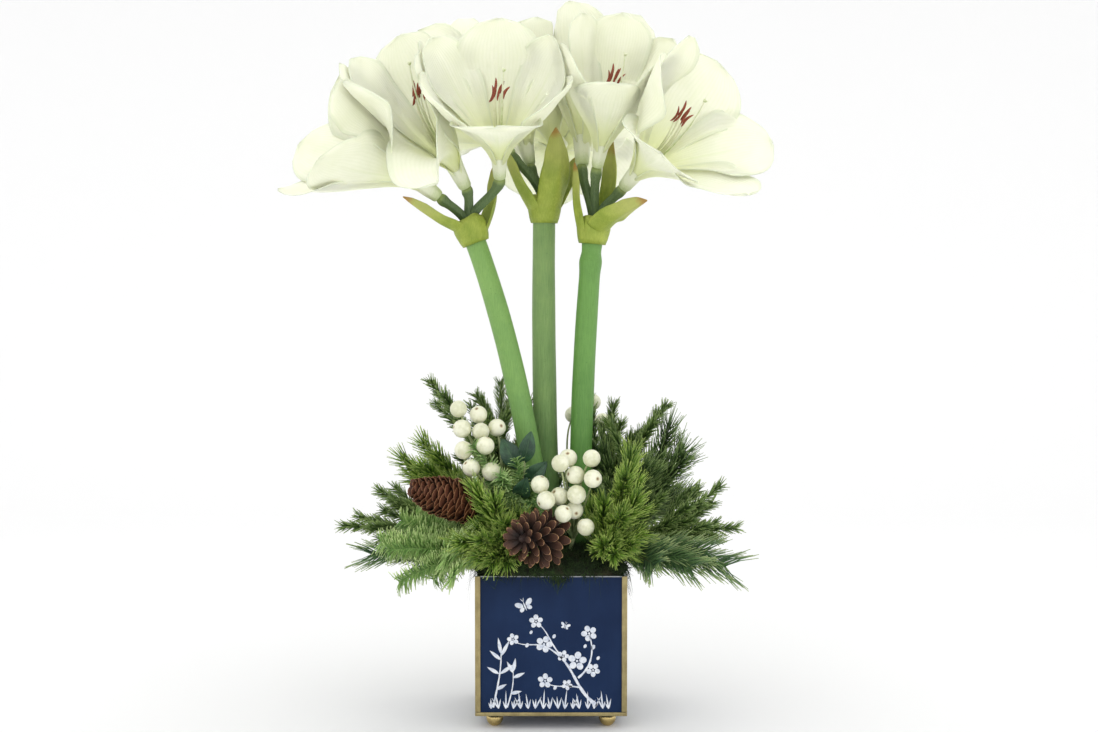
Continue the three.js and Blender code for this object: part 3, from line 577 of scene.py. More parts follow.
# %% [markdown]
# ## The blooms
# Each bloom is a trumpet of six petals (a botanist says tepals): three outer ones and, on top of them,
# three inner ones, set between each other. A petal is a curved sheet, so it is made as a grid of points over
# two numbers: t runs from the tube to the tip, and s from one edge to the other. Low down the six lie round
# one trumpet and overlap; towards their tips each goes its own way. Blooms that share a stem crowd each
# other, so each petal is pushed softly back at the plane half-way to the next bloom, and folds there.

# %% Where each bloom starts, which way it faces, and how it opens
# name: base, way it faces, how far it opens, how far lower petals sag, turn in degrees, size
BLOOMS = {
    "left_out": [(-114, -24, 534), (-0.76, -0.3, 0.6), 0.7, 0.25, 10, 1.0],
    "left_up": [(-87, -18, 544), (-0.4, -0.42, 0.81), 0.55, 0.4, 30, 1.0],
    "left_front": [(-52, -28, 553), (0, -0.56, 0.83), 0.8, 0.6, 30, 0.95],
    "centre_left": [(-42, 20, 580), (-0.5, 0.6, 0.62), 0.75, 0.4, 20, 1],
    "centre_up": [(-22, 24, 570), (-0.2, 0.2, 0.95), 0.5, 0, 0, 0.9],
    "centre_back": [(4, 34, 580), (0.12, 0.88, 0.46), 0.9, 0.4, 50, 1],
    "right_front": [(47, -16, 565), (0.16, -0.42, 0.88), 0.5, 1.4, 30, 0.88],
    "right_back": [(32, 8, 568), (0.02, 0.42, 0.9), 0.6, 0.3, 15, 1],
    "right_out": [(74, -15, 544), (0.5, -0.6, 0.6), 1.1, 0.1, 20, 1.0],
}
# Who gets more of the space between two blooms, and the way from the second bloom to the first where that is
# not the way between their middles.
CLAIMS = {"left_front": 1.25, "right_out": 1.1, "left_up": 0.85}
TURNED = {
    ("left_front", "left_up"): (0.9, -0.22, 0.32),
    ("left_up", "left_out"): (0.75, -0.35, 0.5),
}
FOLDED = {("left_up", 4): 2.3}  # a petal that hangs down in front
MIDDLE = 88  # from a bloom's base to the middle of its trumpet
HALVES = (48, 51)  # half the width of an inner and of an outer petal
LAP = 3.4  # how far the outer petals lie behind the inner ones
PRESS = 1.3  # how near a petal may come to the plane between two blooms
GIVE = 6  # how softly it is pushed back there
LEAN = 10  # how far a petal may be pushed before it closes instead
LEAST_OPEN = -0.4
RUFFLES = (2.4, 1.5)  # two waves along a petal's edges
GROOVE = 1.3  # how deep the midrib lies
BENT_BACK = 8  # how far the tip bends back


# %% A bloom: its axis and how far each of its petals opens
class Bloom:
    def __init__(self, name, base, faces, opening, sag, turn, size):
        self.name = name
        self.base = np.array(base, float)
        self.faces = unit(faces)
        self.turn = turn
        self.size = size
        self.tilt = turned_up_to(self.faces)
        self.middle = self.base + MIDDLE * self.faces
        azimuth = np.radians(60 * np.arange(6) + turn)
        rim = np.stack([np.cos(azimuth), np.sin(azimuth), 0 * azimuth], -1) @ self.tilt.T
        self.opening = opening - sag * rim[:, 2] + 0.06 * np.sin(2.4 * np.arange(6) + turn)
        for k in range(6):
            self.opening[k] = FOLDED.get((name, k), self.opening[k])

    def world(self, local):
        return self.size * local @ self.tilt.T + self.base

    def out(self, a):
        """The way out from the axis, at an angle round it."""
        return self.tilt @ np.array([math.cos(a), math.sin(a), 0])

    def petal_points(self, k, line, across, bow, lift):
        """Points of petal k: its middle line, bowed across to a radius and lifted off itself."""
        r, z, dr, dz = line
        x, y = r - dz * lift, bow * np.sin(across / bow)
        a = math.radians(60 * k + self.turn)
        turned = [x * math.cos(a) - y * math.sin(a), x * math.sin(a) + y * math.cos(a), z + dr * lift]
        return self.world(np.stack(turned, -1))


blooms = [Bloom(name, *row) for name, row in BLOOMS.items()]


# %% Where blooms meet
def divide(bloom, other):
    """The plane between two blooms: a point on it, and the way from it towards the first bloom."""
    for pair, way in TURNED.items():
        if {bloom.name, other.name} == set(pair):
            sign = 1 if bloom.name == pair[0] else -1
            return (bloom.base + other.base) / 2, sign * unit(way)
    claim, rival = CLAIMS.get(bloom.name, 1), CLAIMS.get(other.name, 1)
    point = (bloom.middle * rival + other.middle * claim) / (claim + rival)
    return point, unit(bloom.middle - other.middle)


def pressed(points, bloom):
    """Pushes points back where the bloom meets another one."""
    soft = PRESS + GIVE
    for other in blooms:
        if other is bloom:
            continue
        point, way = divide(bloom, other)
        deep = (points - point) @ way
        back = PRESS + GIVE * np.exp((np.minimum(deep, soft) - soft) / GIVE) - deep
        points = points + np.where(deep < soft, back, 0)[..., None] * way
    return points


for bloom in blooms:
    axis = bloom.base + np.outer([10, 30, 50, 70], bloom.faces)
    push = np.linalg.norm(pressed(axis, bloom) - axis, axis=1)
    print(bloom.name, "axis pushed by, mm:", np.round(push, 1))

# %% The shape of one petal
def petal_width(t):
    """Half a petal's width as a share of its widest: slim at the tube, broad, and round at the tip."""
    low = 0.22 + 0.78 * np.sin(math.pi / 2 * np.clip(t / 0.66, 0, 1)) ** 1.2
    high = np.maximum(0.0016, 1 - np.clip((t - 0.66) / 0.34, 0, 1) ** 2.9) ** 0.5
    return np.where(t < 0.66, low, high)


def petal_line(opening, lap, t):
    """A petal's middle line: distance from the bloom's axis, height along it, and the slope of both."""
    r = [4 + lap / 2, 12 + 6 * opening + lap, 52 + 22 * opening + lap, 48 + 40 * opening + lap]
    z = [14, 66, 88 - 6 * opening, 168 - 40 * np.abs(opening)]
    u = 1 - t

    def at(c):
        return u**3 * c[0] + 3 * u * u * t * c[1] + 3 * u * t * t * c[2] + t**3 * c[3]

    def slope(c):
        return u * u * (c[1] - c[0]) + 2 * u * t * (c[2] - c[1]) + t * t * (c[3] - c[2])

    length = np.hypot(slope(r), slope(z))
    return at(r), at(z), slope(r) / length, slope(z) / length


def opening_round(bloom, azimuth):
    """How open the trumpet is in a direction round its axis, in sixths of a turn, between two petals too."""
    k = np.floor(azimuth).astype(int)
    share = smooth(azimuth - k, 0, 1)
    return bloom.opening[k % 6] * (1 - share) + bloom.opening[(k + 1) % 6] * share


def petal(bloom, k, s, t):
    """Points of petal k for arrays s (edge to edge, -1 to 1) and t (tube to tip, 0 to 1)."""
    outer = k % 2
    half = HALVES[outer] * petal_width(t)
    own = smooth(t, 0.5, 0.85)
    middle = petal_line(bloom.opening[k], LAP * outer, t)[0]
    across = s * np.minimum(half, (0.8 if outer else 0.72) * middle)
    azimuth = k + across / middle / (math.pi / 3)
    opening = opening_round(bloom, azimuth) * (1 - own) + bloom.opening[k] * own
    line = petal_line(opening, LAP * outer, t)
    bow = line[0] * (1 + 1.3 * smooth(t, 0.5, 0.95))
    wave = 6.82 * t + 1.7 * k + bloom.turn
    edge = s * s * smooth(t, 0.35, 0.9)
    lift = bow * (1 - np.cos(across / bow))
    lift = lift + edge * (RUFFLES[0] * np.sin(wave + 3 * s) + RUFFLES[1] * np.sin(2.3 * wave + 2 * k))
    lift = lift - GROOVE * np.exp(-((s / 0.1) ** 2)) * smooth(t, 0.12, 0.4) * (1 - smooth(t, 0.85, 1))
    lift = lift - BENT_BACK * smooth(t, 0.72, 1) ** 2
    return pressed(bloom.petal_points(k, line, across, bow, lift), bloom)


# %% Petals that would lean on a neighbour close a little
def settle(bloom):
    """Closes each petal a little at a time until it no longer leans hard on a neighbouring bloom."""
    s, t = np.meshgrid([-0.8, 0, 0.8], [0.75, 0.9, 1.0])
    for k in range(6):
        while bloom.opening[k] > LEAST_OPEN and (bloom.name, k) not in FOLDED:
            line = petal_line(bloom.opening[k], LAP * (k % 2), t)
            across = s * np.minimum(HALVES[k % 2] * petal_width(t), 0.51 * line[0])
            bow = line[0] * (1.6 + 1.2 * np.maximum(0, t - 0.6))
            free = bloom.petal_points(k, line, across, bow, bow * (1 - np.cos(across / bow)))
            if np.linalg.norm(pressed(free, bloom) - free, axis=-1).max() <= LEAN:
                break
            bloom.opening[k] -= 0.1


for bloom in blooms:
    settle(bloom)
    print(bloom.name, "petals open by", np.round(bloom.opening, 2))

# %% [markdown]
# A petal is creamy white, yellow-green in the throat and along its midrib, and finely veined from end to
# end. The yellow-green of the throat reaches two thirds up the petal, so it is also painted shade, warm as
# the shade deep in the trumpet. The veins follow the petal, so they are drawn over its own UV map: u runs
# across it and v along it.
# A little light goes through a petal, which the shader's subsurface setting stands for.

# %% Finish of the petals
def petal_finish():
    finish = Finish("petal_silk")
    u, v = finish.uv(0), finish.uv(1)
    bent = u + 0.02 * (finish.noise(9, 2) - 0.5)
    veins = ((bent * 150).math("SINE") * 0.5 + 0.5) ** 2
    fibre = finish.noise(0.7, 3, 0.6)
    beside = (u - 0.5).math("ABSOLUTE")
    rib = 1 - beside.between(0.0, 0.035)
    # Painted shade as well as the throat's own colour: the yellow-green runs two thirds up the petal and stands
    # for the warm shade inside the trumpet.
    throat_and_painted_shade = 1 - v.between(0.08, 0.68)
    ends = (v.between(0.97, 1.0) + beside.between(0.0, 0.5).between(0.93, 1.0)).clamp()
    clouds = finish.noise(26)
    white = finish.mix((0.69, 0.705, 0.575), (0.73, 0.738, 0.625), clouds.between(0.3, 0.7))
    white = finish.mix(white, (0.6, 0.63, 0.47), 0.2 * veins)
    white = finish.mix(white, (0.57, 0.63, 0.4), 0.35 * rib * (1 - v.between(0.45, 0.95)))
    white = finish.mix(white, (0.7, 0.745, 0.37), 0.8 * throat_and_painted_shade ** 1.2)
    white = finish.mix(white, (0.58, 0.62, 0.48), 0.6 * ends)
    finish.shader.subsurface_method = "BURLEY"
    return finish.done(
        Base_Color=white,
        Roughness=0.55 + 0.1 * clouds,
        Normal=finish.bump(0.6 * veins + 0.5 * fibre + 0.5 * rib, 0.18),
        **lit_through(0.85, (1.0, 1.0, 0.8), 3.2),
        Sheen_Weight=0.12,
        Sheen_Roughness=0.4,
    )


def tube_finish():
    finish = Finish("petal_tube")
    v = finish.uv(1)
    streaks = finish.streaks(1, 0.2, size=1.2)
    pale = (v + 0.35 * (streaks - 0.5)).between(0.0, 0.5)
    green = finish.mix((0.55, 0.64, 0.32), (0.82, 0.85, 0.64), pale)
    return finish.done(Base_Color=green, Roughness=0.5, Normal=finish.bump(streaks, 0.3))


petal_white = petal_finish()
tube_green = tube_finish()

# %% Make the blooms: six thick petals on a ribbed tube
PETAL_COLUMNS = 25
PETAL_ROWS = 36
PETAL_THICK = 0.75
TUBE = [(3.0, -0.2), (6.0, 0.3), (6.9, 2.5), (7.3, 7), (7.9, 13), (8.3, 19), (8.9, 25), (9.8, 31), (9.2, 32)]
TUBE_SIDES = 36
TUBE_HIGH = 31


def bloom_tube(bloom):
    ribs = np.cos(6 * (around(TUBE_SIDES) - math.radians(bloom.turn)))
    rings = lathe([(radius * (1 + 0.05 * smooth(z, 2, 14) * ribs), z) for radius, z in TUBE], TUBE_SIDES)
    maker = Maker()
    maker.solid(bloom.world(rings), 1, np.clip([z / TUBE_HIGH for _, z in TUBE], 0, 1), last_v=1.0)
    return maker.build("tube_" + bloom.name, [petal_white, tube_green])


# %% Join each tube with its six petals
def joined(name, pieces):
    """Makes one object of several meshes that already lie in place."""
    whole = bmesh.new()
    for piece in pieces:
        whole.from_mesh(piece.data)
    mesh = bpy.data.meshes.new(name)
    whole.to_mesh(mesh)
    whole.free()
    for material in pieces[0].data.materials:
        mesh.materials.append(material)
    for piece in pieces:
        bpy.data.objects.remove(piece)
    return in_scene(name, mesh)


across = np.linspace(-1, 1, PETAL_COLUMNS)
across = np.sign(across) * np.abs(across) ** 0.9
along = np.linspace(0, 1, PETAL_ROWS) ** 0.92
s_grid, t_grid = np.meshgrid(across, along)
for bloom in blooms:
    maker = Maker()
    for k in range(6):
        maker.grid(petal(bloom, k, s_grid, t_grid), (across + 1) / 2, along)
    sheets = maker.build("petals_" + bloom.name, [petal_white, tube_green])
    thickened(sheets, PETAL_THICK)
    whole = joined("flower_" + bloom.name, [sheets, bloom_tube(bloom)])
    finished(whole, "petal", "bloom_" + bloom.name)
print("each bloom has", len(whole.data.polygons), "faces")

# %% [markdown]
# ## Stamens and styles
# In each throat stand six thin filaments, each with a dark red anther that lies across its end, and one
# longer style with a three-lobed knob. All droop and turn up a little, as they do in the living flower.

# %% Finishes of the stamens
def plain_green_finish(name, low, high, rough, grain, depth):
    finish = Finish(name)
    along = finish.noise(grain, 3) + 0.5 * (finish.uv(1) - 0.5)
    colour = finish.mix(low, high, along.between(0.25, 0.75))
    fine = finish.noise(grain * 0.4)
    return finish.done(Base_Color=colour, Roughness=rough, Normal=finish.bump(fine, depth))


filament_finish = plain_green_finish("filament", (0.62, 0.66, 0.36), (0.8, 0.8, 0.6), 0.5, 6, 0.1)
POLLEN = (0.8, 3, 0.7)
anther_red = grainy("anther", (0.17, 0.024, 0.018), (0.45, 0.12, 0.06), 0.85, POLLEN, 0.4, (0.3, 0.75))
style_finish = plain_green_finish("style", (0.5, 0.58, 0.26), (0.76, 0.78, 0.58), 0.5, 8, 0.1)

# %% Make the stamens
FLOOR = 27.3  # height of the stamens' root in the bloom
RING = 3.2  # how far the roots stand from the axis
FILAMENT, STYLE, ANTHER = 66, 96, 17  # lengths
REACH = {"left_up": 1.2, "right_front": 1.02, "right_out": 1.15}  # longer in a bloom that is seen from its side
KNOB = [0.7, 0.9, 1.1, 1.1, 0.9, 0.35]  # radii of a lobe of the style's knob


def stamen_path(bloom, k, style):
    """The line of a filament, and the way out from the bloom's axis at its foot."""
    out = bloom.out(math.radians(360 * k / 7 + 20))
    foot = bloom.base + bloom.faces * FLOOR * bloom.size + out * RING
    length = (STYLE if style else FILAMENT + 3 * (k % 3)) * REACH.get(bloom.name, 1)
    droop = unit(np.array([0, 0, -1.0]) + bloom.faces * bloom.faces[2])
    end = foot + bloom.faces * length + out * (4 if style else 2.4)
    low = foot + bloom.faces * 0.6 * length + droop * 0.17 * length
    return curve([foot, low, end], 15), out


def anther(maker, tip, out, faces, k):
    """A slender curved body that balances on the filament's end, combed the same way as its neighbours."""
    comb = unit(0.9 * faces + np.array([0.55, 0, 0.75]))
    way = unit(comb + 0.14 * out + 0.18 * math.sin(3 * k) * np.cross(out, faces))
    bend = unit(out - way * np.dot(out, way))
    share = np.linspace(-1, 1, 13)
    path = tip + np.outer(share * ANTHER / 2 + 2, way) + np.outer(2.6 * (share**2) - 0.4, bend)
    girth = 1.4 * np.sqrt(np.maximum(0.03, 1 - share**2)) * (1 - 0.12 * share)
    maker.tube(path, [g * (1 + 0.16 * np.cos(2 * around(8))) for g in girth], 8, slot=1)


# %% Six stamens and a style in each bloom
for bloom in blooms:
    maker = Maker()
    for k in range(6):
        path, out = stamen_path(bloom, k, False)
        maker.tube(path, np.linspace(0.85, 0.5, len(path)), 7)
        anther(maker, path[-1], out, bloom.faces, k)
    path, out = stamen_path(bloom, 6, True)
    maker.tube(path, np.linspace(1.1, 0.7, len(path)), 8, slot=2)
    for lobe in range(3):
        way = unit(bloom.faces + 0.75 * bloom.out(lobe * 2 * math.pi / 3))
        knob = path[-1] - bloom.faces + np.outer(np.linspace(0, 3.6, len(KNOB)), way)
        maker.tube(knob, KNOB, 8, slot=2)
    maker.points = [pressed(points, bloom) for points in maker.points]
    stamens = maker.build("stamen_set_" + bloom.name, [filament_finish, anther_red, style_finish])
    finished(stamens, "stamen", "stamens_" + bloom.name)
print("stamen sets:", len(blooms), "with", len(stamens.data.polygons), "faces each")

# %% [markdown]
# ## Spathes and flower stalks
# The bud of an amaryllis is wrapped in two papery leaves. When it opens they stay below the flowers: a
# folded collar round the top of the stem, and bracts that stand up from it and curl as they dry. The collar
# is a thin cup, so its profile is spun; each bract is a long sheet with a fold along its middle.

# %% Finish of the spathes
def spathe_finish():
    finish = Finish("spathe_paper")
    fibre = finish.streaks(1.3, 0.16, 4, 0.65)
    clouds = finish.noise(16, 3)
    v = finish.uv(1)
    light = (0.6 * clouds + 0.5 * fibre).between(0.35, 0.8)
    green = finish.mix((0.24, 0.33, 0.03), (0.46, 0.53, 0.085), light)
    green = finish.mix(green, (0.58, 0.58, 0.19), 0.6 * v.between(0.3, 0.8))
    dry = (v + 0.35 * (clouds - 0.5)).between(0.82, 0.98)
    green = finish.mix(green, (0.42, 0.17, 0.035), 0.75 * dry)
    return finish.done(
        Base_Color=green,
        Roughness=0.55,
        Normal=finish.bump(fibre + 0.4 * clouds, 0.55),
        **lit_through(0.15, (0.9, 1.0, 0.3)),
    )


spathe_paper = spathe_finish()

# %% The bracts of each spathe
# turn round the stem where it leaves the collar, a point that it bends over, its tip, half its width
SPATHES = {
    "left": [(200, (-116, -30, 508), (-150, -30, 534), 15), (30, (-52, 2, 534), (-58, 2, 570), 14)],
    "centre": [
        (300, (14, -10, 566), (5, -4, 606), 19),
        (200, (-42, 0, 556), (-50, -2, 586), 15),
        (50, (22, 38, 552), (30, 46, 582), 14),
    ],
    "right": [
        (190, (20, -12, 536), (24, -10, 570), 13),
        (40, (66, 10, 550), (64, 10, 594), 14),
        (300, (64, -36, 514), (97, -36, 530), 18),
    ],
}
COLLAR = [(13.4, -9), (15.0, -4), (16.4, 3), (17.0, 8), (16.6, 13), (15.8, 17)]
COLLAR_SIDES = 48
WRAP = 16.2  # how tightly a bract's foot wraps round the collar
BRACT_WIDTH = ([0, 0.2, 0.45, 0.7, 0.9, 1], [1.05, 1.05, 1, 0.82, 0.42, 0.04])  # along it, and how wide there
PAPER_THICK = 0.9
BRACT_ROWS, BRACT_COLUMNS = 28, 15


def bract_sheet(maker, scape, turn, over, tip, half):
    a = math.radians(turn)
    out = np.array([math.cos(a), math.sin(a), 0])
    start = scape["top"] + scape["way"] * 3 + out * 15.6
    share = np.linspace(0, 1, BRACT_ROWS)
    path = bezier([start, over, tip], share)
    way = unit(np.gradient(path, axis=0))
    tangent = np.cross(scape["way"], out)
    side = unit(tangent - way * (way @ tangent)[:, None])
    face = np.cross(side, way)
    s = np.linspace(-1, 1, BRACT_COLUMNS)
    t = share[:, None]
    width = half * np.interp(t, *BRACT_WIDTH)
    fold = -0.42 * np.abs(s) ** 1.5 + 0.05 * np.sin(5 * s + 2)
    ripple = 0.07 * np.sin(9 * t + 4 * s) * np.abs(s) - 0.12 * smooth(t, 0.7, 1) * s * s
    # The foot lies round the collar, and from there on the bract is free.
    free = smooth(t, 0.05, 0.45)
    wrapped = np.minimum(np.abs(s) * width / WRAP, 1.4) * np.sign(s)
    across = WRAP * np.sin(wrapped) * (1 - free) + s * width * (1 - 0.12 * np.abs(s)) * free
    deep = -WRAP * (1 - np.cos(wrapped)) * (1 - free) + (fold + ripple) * width * free
    points = path[:, None] + side[:, None] * across[..., None] + face[:, None] * deep[..., None]
    maker.grid(points, (s + 1) / 2, share)


def collar_sheet(maker, name, scape):
    turn = around(COLLAR_SIDES)
    profile = []
    for i, (radius, z) in enumerate(COLLAR):
        share = i / (len(COLLAR) - 1)
        creased = radius + 0.35 * share * np.sin(7 * turn + 3 * share) + 0.2 * np.sin(12 * turn)
        ragged = z + share * 2.4 * np.sin(2 * turn + len(name)) + 0.8 * share * np.sin(5 * turn)
        profile.append((creased, ragged))
    rings = lathe(profile, COLLAR_SIDES) @ turned_up_to(scape["way"]).T + scape["top"]
    maker.grid(rings, np.arange(COLLAR_SIDES) / COLLAR_SIDES, np.linspace(0, 0.5, len(COLLAR)), closed=True)


for name, bracts in SPATHES.items():
    maker = Maker()
    collar_sheet(maker, name, SCAPES[name])
    for row in bracts:
        bract_sheet(maker, SCAPES[name], *row)
    spathe = thickened(maker.build("bracts_" + name, [spathe_paper]), PAPER_THICK)
    finished(spathe, "spathe", "spathe_" + name)
    print("spathe", name, "has", len(bracts), "bracts")

# %% [markdown]
# The stalks under the blooms, the pedicels, are darker than the stem and have blunt ribs. Each swells to
# a small green seed case just where the white tube starts. A ribbed tube with a changing radius gives both.

# %% The flower stalks
def pedicel_finish():
    finish = Finish("pedicel")
    streaks = finish.streaks(1.4, 0.12)
    v = finish.uv(1)
    green = finish.mix((0.05, 0.1, 0.035), (0.15, 0.22, 0.08), (streaks + 0.3 * v).between(0.3, 1.0))
    green = finish.mix(green, (0.3, 0.38, 0.12), v.between(0.9, 1.0))
    return finish.done(Base_Color=green, Roughness=0.5, Normal=finish.bump(streaks, 0.5))


pedicel_green = pedicel_finish()
PEDICEL_SIDES = 24
PEDICEL_RINGS = 34
BOSS = [(0.3, 8.2), (3, 8.3), (6, 7.6), (8, 5), (9, 1)]  # the swelling that they spring from: height and radius
ribs = 1 + 0.09 * np.cos(6 * around(PEDICEL_SIDES))
for name, scape in SCAPES.items():
    maker = Maker()
    heights, radii = zip(*BOSS)
    maker.tube(scape["top"] + np.outer(heights, scape["way"]), radii, PEDICEL_SIDES)
    for bloom in blooms:
        if not bloom.name.startswith(name):
            continue
        root = scape["top"] + 4 * scape["way"]
        end = bloom.base - 0.3 * bloom.faces
        reach = np.linalg.norm(end - root)
        control = [root, root + 0.4 * reach * scape["way"], end - 0.35 * reach * bloom.faces, end]
        share = np.linspace(0, 1, PEDICEL_RINGS)
        swelling = 1.5 * np.exp(-(((share - 0.9) / 0.1) ** 2)) - 0.9 * smooth(share, 0.965, 1.0)
        maker.tube(bezier(control, share), np.outer(5.2 - 0.7 * share + swelling, ribs), PEDICEL_SIDES)
    stalks = maker.build("flower_stalks_" + name, [pedicel_green])
    finished(stalks, "pedicel", "pedicels_" + name)

# %% [markdown]
# ## The planter
# A square box folded from sheet metal, painted navy, with a gold angle strip up each corner, a gold band
# round the foot and four gold ball feet. Real folded edges are never sharp, and the light catches them,
# so each part gets small rounded edges from a Bevel modifier.

# %% Boxes and profiles with rounded edges
POT = {"width": 152, "base": 14, "rim": 155, "wall": 1.6, "strip": 5.4, "sheet": 1.2, "band": 3.8}
GAP = 0.3  # between one metal part and the next
HALF = POT["width"] / 2
OUTER = HALF - POT["sheet"] - GAP  # half the painted box
INNER = OUTER - POT["wall"]
CORNERS = {"back_right": (1, 1), "back_left": (-1, 1), "front_left": (-1, -1), "front_right": (1, -1)}


def squares(rings):
    """Square rings of points, given as (half a side, height)."""
    return np.array([[(half * x, half * y, z) for x, y in CORNERS.values()] for half, z in rings])


def rounded(piece, width):
    bevel = piece.modifiers.new("edges", "BEVEL")
    bevel.width = width * MM
    bevel.segments = 3
    bevel.limit_method = "ANGLE"
    bevel.harden_normals = False
    applied(piece)
    for polygon in piece.data.polygons:
        polygon.use_smooth = True
    piece.data.set_sharp_from_angle(angle=math.radians(32))
    return piece


# %% Navy paint and gold metal
def navy_finish():
    """Satin paint with faint clouds and streaks, fine orange peel, rubbed, paler places and a bare rim."""
    finish = Finish("navy_paint")
    clouds = finish.noise(60, 3)
    streaks = finish.streaks(0.05, 0.012)
    peel = finish.noise(1.4, 2)
    rubbed = finish.noise(9, 5, 0.7).between(0.6, 0.85)
    light = (0.7 * clouds + 0.3 * streaks).between(0.25, 0.75)
    navy = finish.mix((0.005, 0.016, 0.054), (0.01, 0.027, 0.08), light)
    navy = finish.mix(navy, (0.035, 0.062, 0.14), 0.25 * rubbed)
    bare = finish.parts(finish.place())[2].between((POT["rim"] - 1.0) * MM, (POT["rim"] - 0.7) * MM)
    navy = finish.mix(navy, (0.5, 0.52, 0.54), bare)
    return finish.done(
        Base_Color=navy,
        Roughness=0.36 + 0.12 * clouds + 0.1 * rubbed,
        Normal=finish.bump(peel, 0.035),
        Specular_IOR_Level=0.12,
    )


def gold_finish(name, dark, light, rough):
    finish = Finish(name)
    brushed = finish.streaks(2.2, 0.06, rough=0.65)
    tarnish = finish.noise(12, 4, 0.6)
    gold = finish.mix(dark, light, (0.4 * brushed + 0.6 * tarnish).between(0.3, 0.7))
    return finish.done(
        Base_Color=gold,
        Metallic=1.0,
        Roughness=rough + 0.16 * tarnish,
        Normal=finish.bump(brushed, 0.02),
    )


navy_paint = navy_finish()
strip_gold = gold_finish("strip_gold", (0.26, 0.21, 0.1), (0.46, 0.38, 0.19), 0.38)
foot_gold = gold_finish("foot_gold", (0.42, 0.31, 0.11), (0.68, 0.53, 0.24), 0.18)

# %% The box, its strips and its band
maker = Maker()
box_floor = POT["base"] + POT["wall"]
walls = [(OUTER, POT["base"]), (OUTER, POT["rim"]), (INNER, POT["rim"]), (INNER, box_floor)]
maker.solid(squares(walls), mapped=False)
planter = rounded(maker.build("planter_box", [navy_paint]), 0.5)
finished(planter, "navy_paint", "planter_body")

for where, (sx, sy) in CORNERS.items():
    leg, sheet = POT["strip"], POT["sheet"]
    outline = [(0, 0), (-leg, 0), (-leg, -sheet), (-sheet, -sheet), (-sheet, -leg), (0, -leg)]
    outline = [(sx * (HALF + x), sy * (HALF + y)) for x, y in outline]
    if sx * sy < 0:
        outline = outline[::-1]
    maker = Maker()
    heights = (POT["base"] + POT["band"] + GAP, POT["rim"])
    maker.solid([[(x, y, z) for x, y in outline] for z in heights], last_v=1.0)
    strip = rounded(maker.build("strip_" + where, [strip_gold]), 0.35)
    finished(strip, "gold_metal", "corner_strip_" + where)

maker = Maker()
high = POT["base"] + POT["band"]
section = [(HALF, POT["base"]), (HALF, high), (OUTER + GAP, high), (OUTER + GAP, POT["base"])]
maker.grid(squares(section), closed=True, looped=True)
band = rounded(maker.build("base_band_rounded", [strip_gold]), 0.5)
finished(band, "gold_metal", "base_band")
print("planter", POT["width"], "mm wide and", POT["rim"], "mm high")

# %% Four ball feet, turned on a lathe
FOOT = [
    (0.02, 0), (3.2, 0.05), (4.6, 0.7), (6.2, 2.0), (7.6, 4.0), (8.5, 6.4), (8.7, 8.2),
    (8.2, 10.2), (7.2, 11.6), (6.2, 12.4), (6.0, 12.8), (6.8, 13.1), (6.9, 13.6), (0.02, 13.7),
]
FOOT_SIDES = 48
FOOT_PLACE = HALF - 19
for where, (sx, sy) in CORNERS.items():
    maker = Maker()
    maker.solid(lathe(FOOT, FOOT_SIDES) + (sx * FOOT_PLACE, sy * FOOT_PLACE, 0))
    ball = maker.build("ball_foot_" + where, [foot_gold])
    ball.data.set_sharp_from_angle(angle=math.radians(40))
    finished(ball, "gold_metal", "foot_" + where)

# %% [markdown]
# ## The painted motif
# Each side of the box carries a picture in thick white paint: a plum branch with five-petalled blossoms and
# buds, bamboo leaves, grass and two butterflies. Paint that stands a tenth of a millimetre proud is a flat
# shape, so each stroke is a thin plate with one face on top, laid on a side of the box.

# %% Strokes of paint, in millimetres on a side of the box: x to the right, y up from its middle
def turned_flat(points, angle):
    a = math.radians(angle)
    return points @ np.array([[math.cos(a), math.sin(a)], [-math.sin(a), math.cos(a)]])


def leaf_stroke(x, y, angle, length, width):
    share = np.linspace(0, 1, 9)
    half = width / 2 * np.sin(math.pi * share**0.8)
    upper, lower = (np.column_stack([share * length, edge]) for edge in (half, -half))
    return turned_flat(np.concatenate([upper, lower[-2:0:-1]]), angle)[::-1] + (x, y)


def branch_stroke(points, start, end):
    path = curve([(*p, 0) for p in points], 16)[:, :2]
    way = unit(np.gradient(path, axis=0))
    side = np.column_stack([-way[:, 1], way[:, 0]])
    knots = 1 + 0.18 * np.sin(np.arange(16) * 2.1)
    half = (np.linspace(start, end, 16) / 2 * knots)[:, None]
    return np.concatenate([path - side * half, (path + side * half)[::-1]])


def round_stroke(x, y, radius, stretch=1.0, angle=0.0):
    turn = around(12)
    oval = np.column_stack([radius * stretch * np.cos(turn), radius * np.sin(turn)])
    return turned_flat(oval, angle) + (x, y)


def blossom_strokes(x, y, radius, angle):
    strokes = []
    for k in range(5):
        a = math.radians(angle + 72 * k)
        cx, cy = x + 0.62 * radius * math.cos(a), y + 0.62 * radius * math.sin(a)
        strokes.append(round_stroke(cx, cy, 0.35 * radius, 1.12, angle + 72 * k))
    strokes.append(round_stroke(x, y, 0.13 * radius))
    return strokes


def butterfly_strokes(x, y, size, angle):
    a = math.radians(angle)
    c, d = size * math.cos(a), size * math.sin(a)
    strokes = [leaf_stroke(x + 0.35 * d, y - 0.35 * c, angle + 90, 0.8 * size, 0.12 * size)]
    for side in (1, -1):
        for wx, wy, radius, stretch, lean in [(0.4, 0.24, 0.2, 1.7, 36), (0.3, -0.16, 0.16, 1.35, -36)]:
            cx, cy = x + c * side * wx - d * wy, y + d * side * wx + c * wy
            strokes.append(round_stroke(cx, cy, radius * size, stretch, angle + side * lean))
        feeler = angle + 90 - 24 * side
        strokes.append(leaf_stroke(x - 0.4 * d, y + 0.4 * c, feeler, 0.34 * size, 0.05 * size))
    return strokes


# %% The whole picture
GROUND_LINE = -65.5


